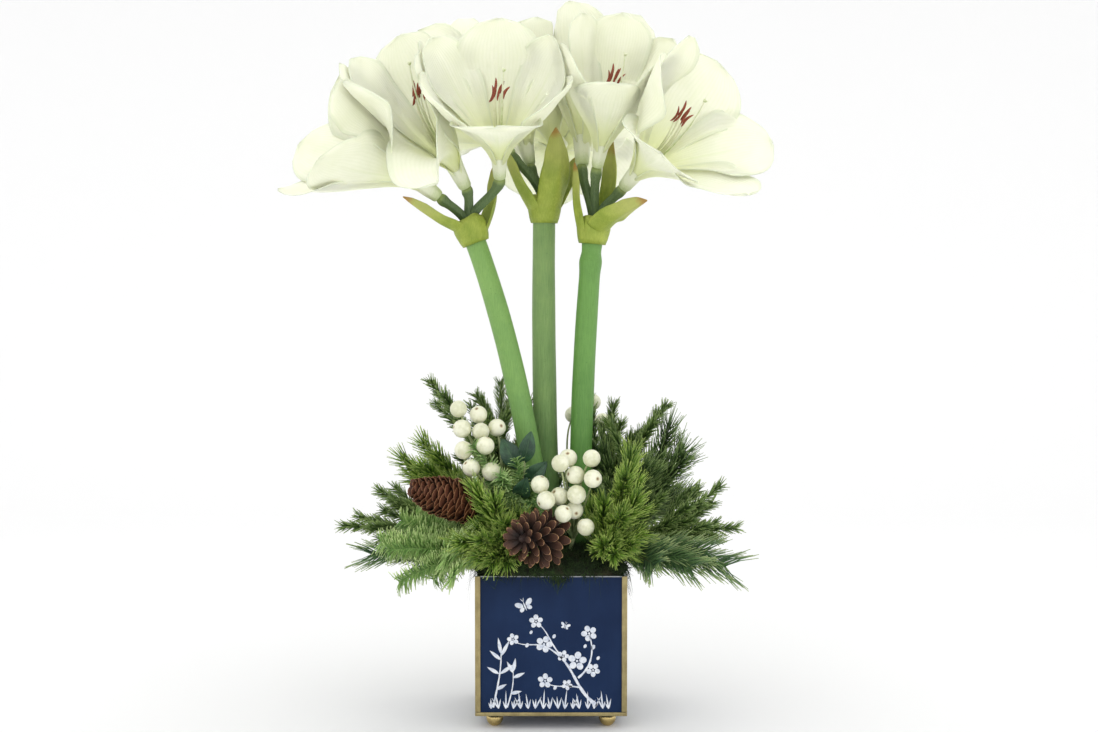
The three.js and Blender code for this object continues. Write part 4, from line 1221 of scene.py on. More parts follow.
def picture():
    """Plum climbs from the lower right and bamboo from the lower left, with grass and two butterflies."""
    strokes = [
        branch_stroke([(46, -62), (20, -44), (26, -18), (-6, -2)], 3.4, 1.4),
        branch_stroke([(27, -34), (40, -24), (44, -8), (38, 10)], 2.2, 0.9),
        branch_stroke([(10, -12), (-2, 2), (-2, 12), (-14, 22)], 1.7, 0.7),
        branch_stroke([(-6, -2), (-18, 2), (-28, -4), (-38, 4)], 1.4, 0.6),
        branch_stroke([(30, -44), (14, -40), (4, -46), (-6, -38)], 1.6, 0.7),
        branch_stroke([(-58, -64), (-54, -44), (-50, -30), (-50, -10)], 2.0, 1.1),
        branch_stroke([(-44, -64), (-40, -52), (-37, -40), (-38, -28)], 1.5, 0.8),
    ]
    for x, y, radius, angle in [
        (26, -17, 9.5, 10), (38, 11, 8, 40), (-7, 0, 8.5, 70), (-15, 23, 7, 20), (42, -26, 7, 55),
        (12, -12, 6, 0), (-38, 5, 6, 34), (-6, -37, 7.5, 15), (16, -41, 5.5, 60),
    ]:
        strokes.extend(blossom_strokes(x, y, radius, angle))
    for x, y, radius in [
        (42, -3, 1.9), (34, -2, 1.5), (3, 8, 1.6), (-24, -1, 1.7), (-20, 12, 1.4), (4, -44, 1.6),
        (47, -14, 1.5),
    ]:
        strokes.append(round_stroke(x, y, radius, 1.4, 60))
    for x, y, angle, length in [
        (-50, -10, 100, 17), (-50, -12, 62, 18), (-50, -16, 140, 15), (-51, -30, 35, 17),
        (-52, -30, 150, 14), (-38, -28, 80, 14), (-38, -29, 118, 13), (-38, -34, 24, 13),
        (-55, -46, 28, 12), (-41, -50, 12, 12),
    ]:
        strokes.append(leaf_stroke(x, y, angle, length, 3.6))
    for i in range(17):
        x = -60 + 7.4 * i + 1.2 * math.sin(3.1 * i)
        for lean, length in [(70, 11), (92, 15), (112, 10)]:
            tall = length * (1 + 0.35 * math.sin(2.3 * i + lean))
            strokes.append(leaf_stroke(x, GROUND_LINE, lean + 9 * math.sin(1.7 * i), tall, 1.5))
    strokes.extend(butterfly_strokes(-26, 38, 13, 22))
    strokes.extend(butterfly_strokes(14, 18, 7, -18))
    return strokes


# %% Lay the picture on the four sides
PAINT_PROUD = 0.14
PAINT_SUNK = 0.05
PAINT_STEP = 0.004  # strokes that cross lie at slightly different heights


def paint_finish():
    finish = Finish("motif_paint")
    worn = finish.noise(5, 5, 0.7)
    white = finish.mix((0.48, 0.54, 0.66), (0.76, 0.79, 0.84), worn.between(0.3, 0.62))
    return finish.done(Base_Color=white, Roughness=0.5, Normal=finish.bump(finish.noise(0.6, 3), 0.06))


motif_paint = paint_finish()
strokes = picture()
middle_height = (POT["base"] + POT["rim"]) / 2
for number, side in enumerate(["front", "right", "back", "left"]):
    a = number * math.pi / 2
    right = np.array([math.cos(a), math.sin(a), 0])
    out = np.array([math.sin(a), -math.cos(a), 0])
    maker = Maker()
    for i, stroke in enumerate(strokes):
        flat = stroke * (1 - 2 * (number % 2), 1)
        area = np.sum(flat[:, 0] * np.roll(flat[:, 1], -1) - np.roll(flat[:, 0], -1) * flat[:, 1])
        flat = flat if area > 0 else flat[::-1]
        place = flat[:, :1] * right + flat[:, 1:] * UP + UP * (middle_height + 2)
        lift = OUTER + PAINT_PROUD + PAINT_STEP * (i % 5)
        maker.solid([place + out * (OUTER - PAINT_SUNK), place + out * lift], mapped=False)
    motif = maker.build("motif_" + side, [motif_paint], shade_smooth=False)
    finished(motif, "navy_paint")
print("strokes of paint on each side:", len(strokes))

# %% [markdown]
# ## Moss over the foam
# Dried moss hides the foam that holds the stems. It is a low mound that just laps over the rim. A closed
# mound with a lumpy top carries it, and Geometry Nodes scatter short curled tufts over it, because a moss
# cushion is thousands of small strands, and a scatter follows the mound wherever it goes.

# %% The mound of moss
# half a side, height, and how square it is there
MOUND = [
    (INNER - 0.3, 120.3, 8), (INNER - 0.3, 154, 8), (74.6, 156.8, 8), (75.6, 158.4, 6), (74.4, 161, 5),
    (70.5, 165, 4), (66, 168.6, 3.5), (60, 172, 3), (50, 175.3, 2.6), (38, 177.6, 2.2), (24, 178.8, 2),
    (10, 179.2, 2), (0.5, 179.3, 2),
]
MOUND_SIDES = 120


def mound():
    turn = around(MOUND_SIDES)
    c, s = np.cos(turn), np.sin(turn)
    profile = []
    for half, z, power in MOUND:
        radius = half / (np.abs(c) ** power + np.abs(s) ** power) ** (1 / power)
        rough = smooth(z, 156, 164)
        x, y = radius * c, radius * s
        lump = 1.5 * np.sin(0.21 * x + 1.3) * np.cos(0.17 * y) + 1.0 * np.sin(0.43 * y + 0.31 * x)
        profile.append((radius, z + rough * lump - 1.5 * rough))
    maker = Maker()
    maker.solid(lathe(profile, MOUND_SIDES))
    return maker


def moss_finish(name, dark, light):
    finish = Finish(name)
    clumps = finish.noise(7, 4, 0.65)
    green = finish.mix(dark, light, (clumps + 0.4 * finish.noise(1.2, 3)).between(0.5, 1.0))
    brown = finish.noise(18, 3).between(0.56, 0.7)
    green = finish.mix(green, (0.06, 0.045, 0.02), 0.4 * brown)
    return finish.done(Base_Color=green, Roughness=0.95, Normal=finish.bump(finish.noise(1.0, 4, 0.7), 1.2))


moss_ground = moss_finish("moss_ground", (0.008, 0.012, 0.005), (0.035, 0.05, 0.015))
moss_strand = moss_finish("moss_strand", (0.01, 0.024, 0.007), (0.05, 0.1, 0.022))

# %% Tufts of moss strands
BARE_BELOW = 156.5 * MM  # no strands under the rim
CURL = 110.0
LEAN_MOST = 1.25  # radians off the moss
tufts = Growth(
    "moss_tufts",
    Float=["Density", "Strand", "Thickness"],
    Int=["Seed"],
    Material=["Ground", "Strands"],
)
ground = tufts.given("Geometry")
scatter = {"Mesh": ground, "Density": tufts.given("Density"), "Seed": tufts.given("Seed")}
scatter["Selection"] = tufts.position()[2].above(BARE_BELOW)
spots = tufts.node("GeometryNodeDistributePointsOnFaces", scatter, distribute_method="RANDOM")
shape = {
    "Vertices": 3, "Side Segments": 3,
    "Radius Top": 0.0, "Radius Bottom": tufts.given("Thickness"), "Depth": tufts.given("Strand"),
}
strand = tufts.node("GeometryNodeMeshCone", shape, fill_type="NGON")
rise = tufts.position()[2]
strand = tufts.moved(strand, Offset=tufts.vector(rise * rise * CURL))
lean_x, lean_y = (tufts.random(-LEAN_MOST, LEAN_MOST, seed) for seed in (1, 2))
lean = tufts.vector(lean_x, lean_y, tufts.random(0.0, 6.28, 3))
standing = tufts.turned(spots.beside("Rotation"), lean)
strands = tufts.realised(tufts.set_on(spots, strand, standing, tufts.random(0.5, 1.25, 4)))
tufts.finish(tufts.together(tufts.coloured(ground, "Ground"), tufts.coloured(strands, "Strands")))

moss = mound().build("moss_cushion", [moss_ground])
strand_values = {"Density": 420000.0, "Strand": 8 * MM, "Thickness": 0.45 * MM, "Seed": 4}
tufts.grow(moss, {**strand_values, "Ground": moss_ground, "Strands": moss_strand})


SAG_LEAST, SAG_MORE = 0.4, 5.0  # how far strands sag for each millimetre that they stick out
STEADY = HALF - 0.8  # nothing nearer the middle than this sags


def hang_over_rim(piece):
    """Lets the strands that stick out past the pot sag in clumps, as loose moss does."""
    flat = np.zeros(3 * len(piece.data.vertices))
    piece.data.vertices.foreach_get("co", flat)
    points = flat.reshape(-1, 3)
    x, y = (points[:, :2] - pot_middle[:2]).T / MM
    past = np.maximum(0, np.maximum(np.abs(x), np.abs(y)) - STEADY)
    clump = SAG_LEAST + SAG_MORE * smooth(np.sin(0.09 * x + 1) * np.cos(0.12 * y + 2), 0.1, 0.6)
    points[:, 2] -= past * clump * MM
    piece.data.vertices.foreach_set("co", points.ravel())
    piece.data.update()


hang_over_rim(moss)
finished(moss, "moss", "moss_bed")
print("moss has", len(moss.data.polygons), "faces")

# %% [markdown]
# The foam block fills the box below the moss and can't be seen from outside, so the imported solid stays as
# it is and only gets a crumbly finish, with the tiny open cells of floral foam.

# %% Finish of the foam
foam = Finish("floral_foam")
cells = foam.node("ShaderNodeTexVoronoi", {"Vector": foam.place(), "Scale": 1 / (0.9 * MM)})
green = foam.mix((0.06, 0.1, 0.04), (0.13, 0.19, 0.08), (cells + 0.4 * foam.noise(12)).between(0.2, 0.9))
foam.done(Base_Color=green, Roughness=0.95, Normal=foam.bump(cells, 0.4))
foam_node = frame["nodes"]["foam_block"]
foam_node.data.materials.clear()
foam_node.data.materials.append(foam.material)

# %% [markdown]
# ## Stalks and wires
# Cones, berries, leaves and evergreens are florists' picks. Each stands on a short stalk pushed into the
# foam at its own angle, and branches from a fork just above the moss.

# %% Where a pick stands: its root, its fork and its direction
SUNK = 20  # how deep a stalk stands in the foam
OUT = 12  # how far it stands out of the moss
STALK = 2.2  # its radius


class Stalk:
    def __init__(self, azimuth, climb, start, rise):
        a, c = math.radians(azimuth), math.radians(climb)
        self.way = np.array([math.cos(a) * math.cos(c), math.sin(a) * math.cos(c), math.sin(c)])
        mouth = np.array([start * math.cos(a), start * math.sin(a), rise])
        self.root = mouth - SUNK * self.way
        self.fork = mouth + OUT * self.way


# Florists' tape is dull and brown-green, with fine wrapped ridges.
stalk_tape = grainy("stalk_tape", (0.035, 0.04, 0.015), (0.11, 0.1, 0.045), 0.75, (2.5, 4, 0.55))

# %% [markdown]
# ## Two cones
# A cone is one scale repeated on a spiral, each turned from the last by the golden angle. That is a rule,
# so Geometry Nodes grow it: points on a swelling spiral, and on each point one scale that leans out a
# little. The long cone is closed, with thin scales that lie like tiles. The short one is open, with thick
# woody scales that stand well out. Only the numbers differ, so one tree makes both.

# %% A tree that grows scales round a core
scales = Growth(
    "cone_scales",
    Int=["Count"],
    Float=[
        "Length", "Radius", "Swell Start", "Swell Span", "Scale Length", "Scale Width", "Scale Thickness",
        "Tip Size", "Lean Low", "Lean High", "Lift",
    ],
    Vector=["Base", "Turn"],
    Material=["Scales"],
)
given = scales.given
index = scales.node("GeometryNodeInputIndex")
share = (index + 0.5) / given("Count")
golden = index * (math.pi * (3 - math.sqrt(5)))
out_x, out_y = golden.math("COSINE"), golden.math("SINE")
swell = (share * given("Swell Span") + given("Swell Start")) * math.pi
radius = swell.math("SINE") ** 0.7 * given("Radius")
spiral = scales.vector(out_x * radius, out_y * radius, share * given("Length"))
points = scales.node("GeometryNodePoints", {"Count": given("Count"), "Position": spiral})
# One scale: a rounded lens whose foot is at the origin, slim at the foot and lifted at its tip.
lens = scales.node("GeometryNodeMeshUVSphere", {"Segments": 14, "Rings": 7, "Radius": 0.5})
x, y, z = scales.position()
tall = z + 0.5
slim = (tall * 1.9).math("SINE") * 0.62 + 0.42
wide = x * slim * given("Scale Width")
keel = x * x * -0.5
thick = (y * (tall * 0.9 + 0.5) + keel) * given("Scale Thickness") + tall * tall * given("Lift")
lens = scales.stored(lens, "tip", tall)
lens = scales.stored(lens, "rim", y.math("ABSOLUTE") * -2.0 + 1.0)
lens = scales.moved(lens, Position=scales.vector(wide, thick, tall * given("Scale Length")))
lens = scales.smoothed(lens)
# The scale's long side leans out from the cone's axis, and its flat side faces outwards.
lean = share.to_range(given("Lean Low"), given("Lean High")) + scales.random(-0.12, 0.12, 3)
outwards = lean.math("SINE")
long_way = scales.vector(out_x * outwards, out_y * outwards, lean.math("COSINE"))
standing = scales.facing("ZY", long_way, scales.vector(out_x, out_y))
size = (share * share).to_range(1.0, given("Tip Size")) * scales.random(0.93, 1.07, 5)
grown = scales.set_on(points, lens, standing, size)
grown = scales.realised(scales.stored(grown, "tone", scales.random(0.0, 1.0, 8), "INSTANCE"))
at_base = {"Geometry": grown, "Translation": given("Base"), "Rotation": given("Turn")}
grown = scales.coloured(scales.node("GeometryNodeTransform", at_base), "Scales")
scales.finish(scales.together(given("Geometry"), grown))


# %% Finish of the cones, with painted shade at each scale's foot, where the scale above covers it, and tan at its edge
def cone_finish(name, foot, body, edge, edge_start):
    finish = Finish(name)
    tip, tone, rim = finish.attribute("tip"), finish.attribute("tone"), finish.attribute("rim")
    grain = finish.noise(1.1, 4, 0.65)
    # Painted shade: each scale is darkened towards its foot, where the scales above shade it.
    brown = finish.mix(foot, body, (tip + 0.4 * (grain - 0.5)).between(0.3, 1.0))
    brown = finish.mix(brown, tuple(0.6 * c for c in body), 0.5 * tone)
    worn = rim.between(0.5, 0.95) * tip.between(0.55, 0.75) + tip.between(0.94, 1.0)
    brown = finish.mix(brown, edge, (worn + 0.3 * (grain - 0.5)).between(edge_start, edge_start + 0.4))
    return finish.done(Base_Color=brown, Roughness=0.5 + 0.2 * grain, Normal=finish.bump(grain, 0.5))


# foot (painted shade, where the scale above covers it), body and edge of a scale, and where the edge starts
CONE_COLOURS = {
    "cone_long_scales": ((0.01, 0.003, 0.001), (0.12, 0.032, 0.008), (0.42, 0.2, 0.085), 0.62),
    "cone_open_scales": ((0.005, 0.002, 0.001), (0.08, 0.027, 0.01), (0.42, 0.23, 0.1), 0.6),
    "cone_core": ((0.03, 0.014, 0.01), (0.06, 0.03, 0.02), (0.1, 0.05, 0.03), 0.5),
}
cone_finishes = {name: cone_finish(name, *colours) for name, colours in CONE_COLOURS.items()}

# %% Grow both cones
CONES = {
    "long": {
        "at": (222, 40, 54, 171), "base": (-72, -58, 221), "faces": (-0.9, -0.37, 0.33),
        "core": [(0.5, 0), (10, 3), (15, 14), (16, 34), (13, 54), (7, 68), (0.5, 75)],
        "values": {
            "Count": 150, "Length": 70 * MM, "Radius": 13 * MM, "Swell Start": 0.17, "Swell Span": 0.76,
            "Scale Length": 16.5 * MM, "Scale Width": 19 * MM, "Scale Thickness": 1.1 * MM, "Tip Size": 0.5,
            "Lean Low": 0.58, "Lean High": 0.2, "Lift": 2.0 * MM,
        },
    },
    "open": {
        "at": (262, 24, 58, 169), "base": (-6, -80, 195), "faces": (-0.5, -0.86, 0.1),
        "core": [(0.5, -1), (8, 2), (8.5, 12), (6.5, 30), (4, 44), (0.5, 50)],
        "values": {
            "Count": 62, "Length": 46 * MM, "Radius": 5.5 * MM, "Swell Start": 0.42, "Swell Span": 0.48,
            "Scale Length": 26 * MM, "Scale Width": 10 * MM, "Scale Thickness": 2.1 * MM, "Tip Size": 0.6,
            "Lean Low": 1.65, "Lean High": 0.7, "Lift": 2.0 * MM,
        },
    },
}
CORE_SIDES = 16
for name, cone in CONES.items():
    stalk = Stalk(*cone["at"])
    base, way = np.array(cone["base"], float), unit(cone["faces"])
    maker = Maker()
    maker.solid(lathe(cone["core"], CORE_SIDES) @ turned_up_to(way).T + base)
    maker.tube([stalk.root, stalk.fork], [STALK, STALK], 10, slot=1)
    wire = curve([stalk.fork - stalk.way, stalk.fork + 8 * stalk.way, base + 3 * way])
    maker.tube(wire, [1.5] * 12, 8, slot=1)
    core = maker.build("scaled_cone_" + name, [cone_finishes["cone_core"], stalk_tape])
    place = {"Base": tuple(placed(base)), "Turn": tuple(turn_up_to(way).to_euler())}
    scales.grow(core, {**cone["values"], **place, "Scales": cone_finishes["cone_" + name + "_scales"]})
    finished(core, "cone", "cone_" + name)
    print("cone", name, "has", cone["values"]["Count"], "scales and", len(core.data.polygons), "faces")

# %% [markdown]
# ## Berries
# The berries are cream beads, a little flattened, each with a brown dimple at the end away from its stem.
# They repeat, so a tree sets one modelled bead on every point of a cluster and turns it to its own side.

# %% A tree that sets a bead on each point
beads = Growth("berry_beads", Float=["Radius", "Dimple"], Material=["Skin"])
ball = beads.node("GeometryNodeMeshUVSphere", {"Segments": 28, "Rings": 18, "Radius": beads.given("Radius")})
share = beads.position()[2] / beads.given("Radius")
pit = share.math("MAXIMUM", 0.0) ** 60.0 * beads.given("Dimple")
ball = beads.stored(ball, "end", share)
ball = beads.smoothed(beads.moved(ball, Offset=beads.vector(z=pit * -1.0)))
facing = {"Vector": beads.named("facing", "FLOAT_VECTOR")}
standing = beads.node("FunctionNodeAlignRotationToVector", facing, axis="Z")
berries = beads.realised(beads.set_on(beads.given("Geometry"), ball, standing, beads.random(0.94, 1.06, 2)))
beads.finish(beads.coloured(berries, "Skin"))


def berry_finish():
    finish = Finish("berry_skin")
    end = finish.attribute("end")
    clouds = finish.noise(6, 4)
    specks = finish.noise(1.3, 3).between(0.62, 0.72)
    cream = finish.mix((0.66, 0.67, 0.46), (0.86, 0.86, 0.68), (clouds + 0.2 * end).between(0.25, 0.7))
    cream = finish.mix(cream, (0.5, 0.46, 0.26), 0.2 * specks)
    cream = finish.mix(cream, (0.5, 0.38, 0.18), 0.6 * end.between(0.95, 0.985))
    cream = finish.mix(cream, (0.24, 0.16, 0.09), end.between(0.984, 0.993))
    return finish.done(
        Base_Color=cream,
        Roughness=0.38 + 0.2 * clouds,
        Normal=finish.bump(clouds + 0.3 * specks, 0.25),
        **lit_through(0.12, (1.0, 0.9, 0.5)),
    )


berry_skin = berry_finish()
berry_stem = plain_green_finish("berry_stem", (0.16, 0.22, 0.08), (0.36, 0.42, 0.2), 0.6, 5, 0.2)

# %% Berries of each cluster: the stalk, then the middle of each berry
BERRY = 9.0  # a berry's radius
BERRY_RINGS = 16
BERRIES = {
    "front": [
        (300, 64, 40, 177),
        [(9, -92, 270), (17, -72, 273), (24, -82, 257), (40, -84, 274), (41, -94, 255), (-11, -84, 248)],
        [(-5, -96, 234), (8, -80, 236), (25, -92, 239), (12, -98, 221), (23, -80, 222), (34, -92, 207)],
    ],
    "left": [
        (206, 58, 44, 176),
        [(-94, -34, 319), (-74, -30, 313), (-90, -46, 300), (-71, -44, 297), (-55, -34, 300)],
        [(-66, -58, 284), (-88, -54, 279), (-80, -60, 262), (-60, -60, 258)],
    ],
    "back": [(70, 56, 42, 176), [(45, 62, 319), (24, 78, 304)], [(56, 82, 296), (34, 92, 276)]],
}


def line_mesh(name, points, edges, values):
    """An object of points and edges only, with named values on its points."""
    mesh = bpy.data.meshes.new(name)
    mesh.from_pydata(placed(points).tolist(), edges, [])
    for label, rows in values.items():
        rows = np.array(rows, np.float32)
        kind, field = ("FLOAT", "value") if rows.ndim == 1 else ("FLOAT_VECTOR", "vector")
        mesh.attributes.new(label, kind, "POINT").data.foreach_set(field, rows.ravel())
    return in_scene(name, mesh)


for name, (at, upper, lower) in BERRIES.items():
    stalk = Stalk(*at)
    centres = np.array(upper + lower, float)
    stems = Maker()
    stems.tube([stalk.root, stalk.fork + 2 * stalk.way], [STALK, 2.0], 10)
    facings = []
    for i, centre in enumerate(centres):
        straight = unit(centre - stalk.fork)
        reach = np.linalg.norm(centre - stalk.fork)
        arrive = unit(straight + 0.35 * np.array([math.sin(2.4 * i), math.cos(1.9 * i), -0.3]))
        end = centre - arrive * BERRY * 0.97
        control = [stalk.fork, stalk.fork + straight * 0.55 * reach, end - 0.2 * reach * arrive, end]
        stems.tube(curve(control, BERRY_RINGS), np.linspace(1.25, 0.9, BERRY_RINGS), 8)
        wander = np.array([math.sin(5 * i + 1), math.cos(4 * i), math.sin(3 * i)])
        facings.append(unit(arrive + 1.1 * wander))
    stem_piece = stems.build("berry_stems_" + name, [berry_stem, berry_skin])
    cluster = line_mesh("beads_" + name, centres, [], {"facing": facings})
    beads.grow(cluster, {"Radius": BERRY * MM, "Dimple": 1.2 * MM, "Skin": berry_skin})
    finished(stem_piece, "berry", "berries_" + name)
    finished(cluster, "berry", "berries_" + name)
    print("cluster", name, "has", len(centres), "berries")

# %% [markdown]
# ## The sprig of smooth leaves
# Four pointed leaves with a bluish wax. Each is a sheet with a sunken midrib, arched along its length.

# %% Leaves: where each starts and ends, and half its width
BLADE_THICK = 0.6
BLADE_ROWS, BLADE_COLUMNS = 22, 13
SPRIG = {
    "at": (230, 70, 42, 176),
    "leaves": [
        ((-27, -50, 266), (-20, -52, 298), 8),
        ((-33, -50, 260), (-50, -48, 290), 10),
        ((-25, -52, 244), (-4, -58, 268), 9),
        ((-31, -56, 232), (-24, -74, 254), 9),
    ],
}


def leaf_finish():
    finish = Finish("smooth_leaf")
    u, v = finish.uv(0), finish.uv(1)
    centre = (u - 0.5).math("ABSOLUTE")
    rib = 1 - centre.between(0.0, 0.05)
    side_veins = (((v * 60) - centre * 40).math("SINE") * 0.5 + 0.5) ** 6
    green = finish.mix((0.01, 0.042, 0.022), (0.035, 0.1, 0.045), finish.noise(7, 3).between(0.3, 0.7))
    green = finish.mix(green, (0.1, 0.18, 0.09), 0.5 * rib + 0.12 * side_veins)
    return finish.done(Base_Color=green, Roughness=0.4, Normal=finish.bump(side_veins * -0.5 - rib, 0.3))


smooth_leaf = leaf_finish()
stalk = Stalk(*SPRIG["at"])
blades, stems = Maker(), Maker()
stems.tube([stalk.root, stalk.fork + stalk.way], [STALK, 2.0], 10)
for number, (start, end, half) in enumerate(SPRIG["leaves"]):
    start, end = np.array(start, float), np.array(end, float)
    way = unit(end - start)
    side = unit(np.cross(way, (0, -1, 0.2)))
    face = np.cross(side, way)
    s, t = np.linspace(-1, 1, BLADE_COLUMNS), np.linspace(0, 1, BLADE_ROWS)
    line = start + np.outer(t, end - start) + np.outer(4.5 * np.sin(math.pi * t), face)
    width = half * np.sin(math.pi * np.clip(t, 0.01, 1) ** 0.85) ** 0.8 + 0.25
    dish = 0.28 * np.abs(s) ** 1.3 - 0.1 * np.exp(-((s / 0.12) ** 2))
    twist = 0.1 * np.sin(6 * t + number)[:, None] * s * np.abs(s)
    across, deep = s * width[:, None], (dish + twist) * width[:, None]
    blades.grid(line[:, None] + side * across[..., None] + face * deep[..., None], (s + 1) / 2, t)
    stems.tube(curve([stalk.fork, (stalk.fork + start) / 2 + 2 * face, start + 2 * way]), [1.0] * 12, 8)
leaves = thickened(blades.build("leaf_blades", [smooth_leaf]), BLADE_THICK)
finished(leaves, "leaf", "leaf_sprig")
finished(stems.build("leaf_stems", [berry_stem]), "leaf", "leaf_sprig")

# %% [markdown]
# ## Evergreens
# Fifteen picks of four kinds stand round the stems: dark fir with long combed needles, bright bushy pine,
# slim rope-like sprigs, and soft frosted sprays. Fir and frost each have a second form, fuller or curled.
# Each pick is a few branchlets with smaller side twigs, and every twig carries hundreds of needles. The
# twigs are plain lines made in Python, where their growth is easy to steer. A Geometry Nodes tree gives each
# line its thickness and sets needles along it, because needles repeat along a path, and one tree with other
# numbers does all the kinds.

# %% A tree that turns lines into needled twigs
twigs = Growth(
    "needled_twigs",
    Float=["Spacing", "Needle Length", "Needle Radius", "Bend", "Spread", "Scatter", "Roll"],
    Int=["Joints", "Seed"],
    Material=["Bark", "Needles"],
)
lines = twigs.node("GeometryNodeMeshToCurve", {0: twigs.given("Geometry")})
circle = twigs.node("GeometryNodeCurvePrimitiveCircle", {"Resolution": 6, "Radius": 1.0}, mode="RADIUS")
section = {"Curve": lines, "Profile Curve": circle, "Scale": twigs.named("girth"), "Fill Caps": True}
bark = twigs.smoothed(twigs.node("GeometryNodeCurveToMesh", section))
# Needles: a slim three-sided blade, thinner to its tip and a little bent.
length, radius = twigs.given("Needle Length"), twigs.given("Needle Radius")
shape = {
    "Vertices": 3, "Side Segments": twigs.given("Joints"),
    "Radius Top": radius * 0.45, "Radius Bottom": radius, "Depth": length,
}
spike = twigs.node("GeometryNodeMeshCone", shape, fill_type="NGON")
share = twigs.position()[2] / length
spike = twigs.stored(spike, "tip", share)
spike = twigs.smoothed(twigs.moved(spike, Offset=twigs.vector(share * share * twigs.given("Bend"))))
level = twigs.node("GeometryNodeSetCurveNormal", {"Curve": lines}, mode="Z_UP")
steps = {"Curve": level, "Length": twigs.given("Spacing")}
stations = twigs.node("GeometryNodeResampleCurve", steps, mode="LENGTH")
along, aside = twigs.node("GeometryNodeInputTangent"), twigs.node("GeometryNodeInputNormal")
# Each needle leans off the twig, on one side and the other in turn, and wanders from there.
seed = twigs.given("Seed")
side = twigs.node("GeometryNodeInputIndex").math("MODULO", 2.0) * math.pi
roll = side + twigs.random(-1.0, 1.0, seed) * twigs.given("Scatter") + twigs.given("Roll")
lean = twigs.given("Spread") * twigs.random(0.78, 1.16, seed + 1.0)
turn = twigs.node("FunctionNodeEulerToRotation", {0: twigs.vector(y=lean, z=roll)})
standing = twigs.turned(twigs.facing("ZX", along, aside), turn)
size = twigs.random(0.72, 1.15, seed + 2.0)
needles = twigs.set_on(stations, spike, standing, size, Selection=twigs.named("needled").above(0.5))
needles = twigs.realised(twigs.stored(needles, "tone", twigs.random(0.0, 1.0, seed + 3.0), "INSTANCE"))
twigs.finish(twigs.together(twigs.coloured(bark, "Bark"), twigs.coloured(needles, "Needles")))


# %% Finish of the needles
def needle_finish(name, dark, light, tip_colour, rough):
    """Each needle has its own tone, and is lighter towards its tip."""
    finish = Finish(name)
    tip, tone = finish.attribute("tip"), finish.attribute("tone")
    green = finish.mix(dark, light, (0.75 * tone + 0.45 * tip).between(0.1, 1.0))
    green = finish.mix(green, tip_colour, 0.85 * tip.between(0.6, 1.0))
    patches = finish.noise(22, 2).between(0.35, 0.65)
    green = finish.mix(green, dark, 0.35 * patches)
    return finish.done(Base_Color=green, Roughness=rough)


# %% The kinds of evergreen
# The numbers of the tree. The first four are in millimetres. Scatter is how far needles roll round a twig.
TREE = ("Spacing", "Needle Length", "Needle Radius", "Bend", "Joints", "Spread", "Scatter", "Roll")
# The numbers of a branchlet: how many twigs stand on each side, their length as a share of its reach, their
# angle, how flat they lie and how they droop, how far filling branchlets reach, and how many fill a gap.
BRANCH = ("side_twigs", "side_length", "side_angle", "flat", "droop", "fill", "extra")
ALL_ROUND = math.pi
BROWN = ((0.05, 0.06, 0.02), (0.11, 0.12, 0.045))
PALE = ((0.15, 0.26, 0.07), (0.28, 0.4, 0.13))
# Each has the colours of its needles (dark, light, tips) with their roughness, its bark, and its numbers.
KINDS = {
    "fir": {
        "needles": ((0.035, 0.095, 0.035), (0.17, 0.31, 0.095), (0.45, 0.55, 0.22), 0.5),
        "bark": BROWN,
        "tree": (0.5, 31, 0.74, -6, 2, 0.78, 0.22, 0.95),
        "branch": (0, 0.42, 38, 0.4, 0.05, 0.85, 1),
    },
    "plume": {
        "needles": ((0.025, 0.06, 0.015), (0.1, 0.19, 0.04), (0.3, 0.42, 0.13), 0.5),
        "bark": BROWN,
        "tree": (0.32, 27, 0.64, -8, 2, 0.85, ALL_ROUND, 0.0),
        "branch": (1, 0.5, 42, 0.2, 0.1, 0.85, 2),
        "slot": "fir",
    },
    "pine": {
        "needles": ((0.05, 0.12, 0.012), (0.22, 0.39, 0.035), (0.48, 0.61, 0.13), 0.5),
        "bark": ((0.07, 0.09, 0.02), (0.15, 0.17, 0.05)),
        "tree": (0.28, 20, 0.66, -3.5, 2, 0.75, ALL_ROUND, 0.0),
        "branch": (2, 0.5, 40, 0.3, 0.02, 0.9, 1),
    },
    "sprig": {
        "needles": ((0.045, 0.1, 0.02), (0.16, 0.27, 0.05), (0.34, 0.45, 0.14), 0.55),
        "bark": ((0.05, 0.07, 0.02), (0.1, 0.12, 0.04)),
        "tree": (0.26, 12, 0.66, 0, 1, 0.62, ALL_ROUND, 0.0),
        "branch": (3, 0.42, 32, 0.3, 0.05, 0.85, 2),
        "rise": (60, 140),
    },
    "frost": {
        "needles": ((0.16, 0.33, 0.07), (0.42, 0.62, 0.19), (0.7, 0.84, 0.36), 0.6),
        "bark": PALE,
        "tree": (0.3, 17, 0.84, 4.5, 2, 1.0, 0.35, 1.0),
        "branch": (1, 0.5, 44, 0.3, 0.5, 0.9, 2),
    },
    "curl": {
        "needles": ((0.13, 0.28, 0.07), (0.34, 0.54, 0.17), (0.6, 0.76, 0.32), 0.6),
        "bark": PALE,
        "tree": (0.5, 11, 0.8, 4, 2, 0.9, ALL_ROUND, 0.0),
        "branch": (2, 0.3, 40, 0.2, 0.1, 0.6, 0),
        "slot": "frost",
    },
}
for name, kind in KINDS.items():
    values = dict(zip(TREE, kind["tree"]))
    values.update({label: values[label] * MM for label in TREE[:4]})
    values["Needles"] = needle_finish("needles_" + name, *kind["needles"])
    values["Bark"] = grainy("bark_" + name, *kind["bark"], 0.8)
    kind.update(zip(BRANCH, kind["branch"]), values=values)

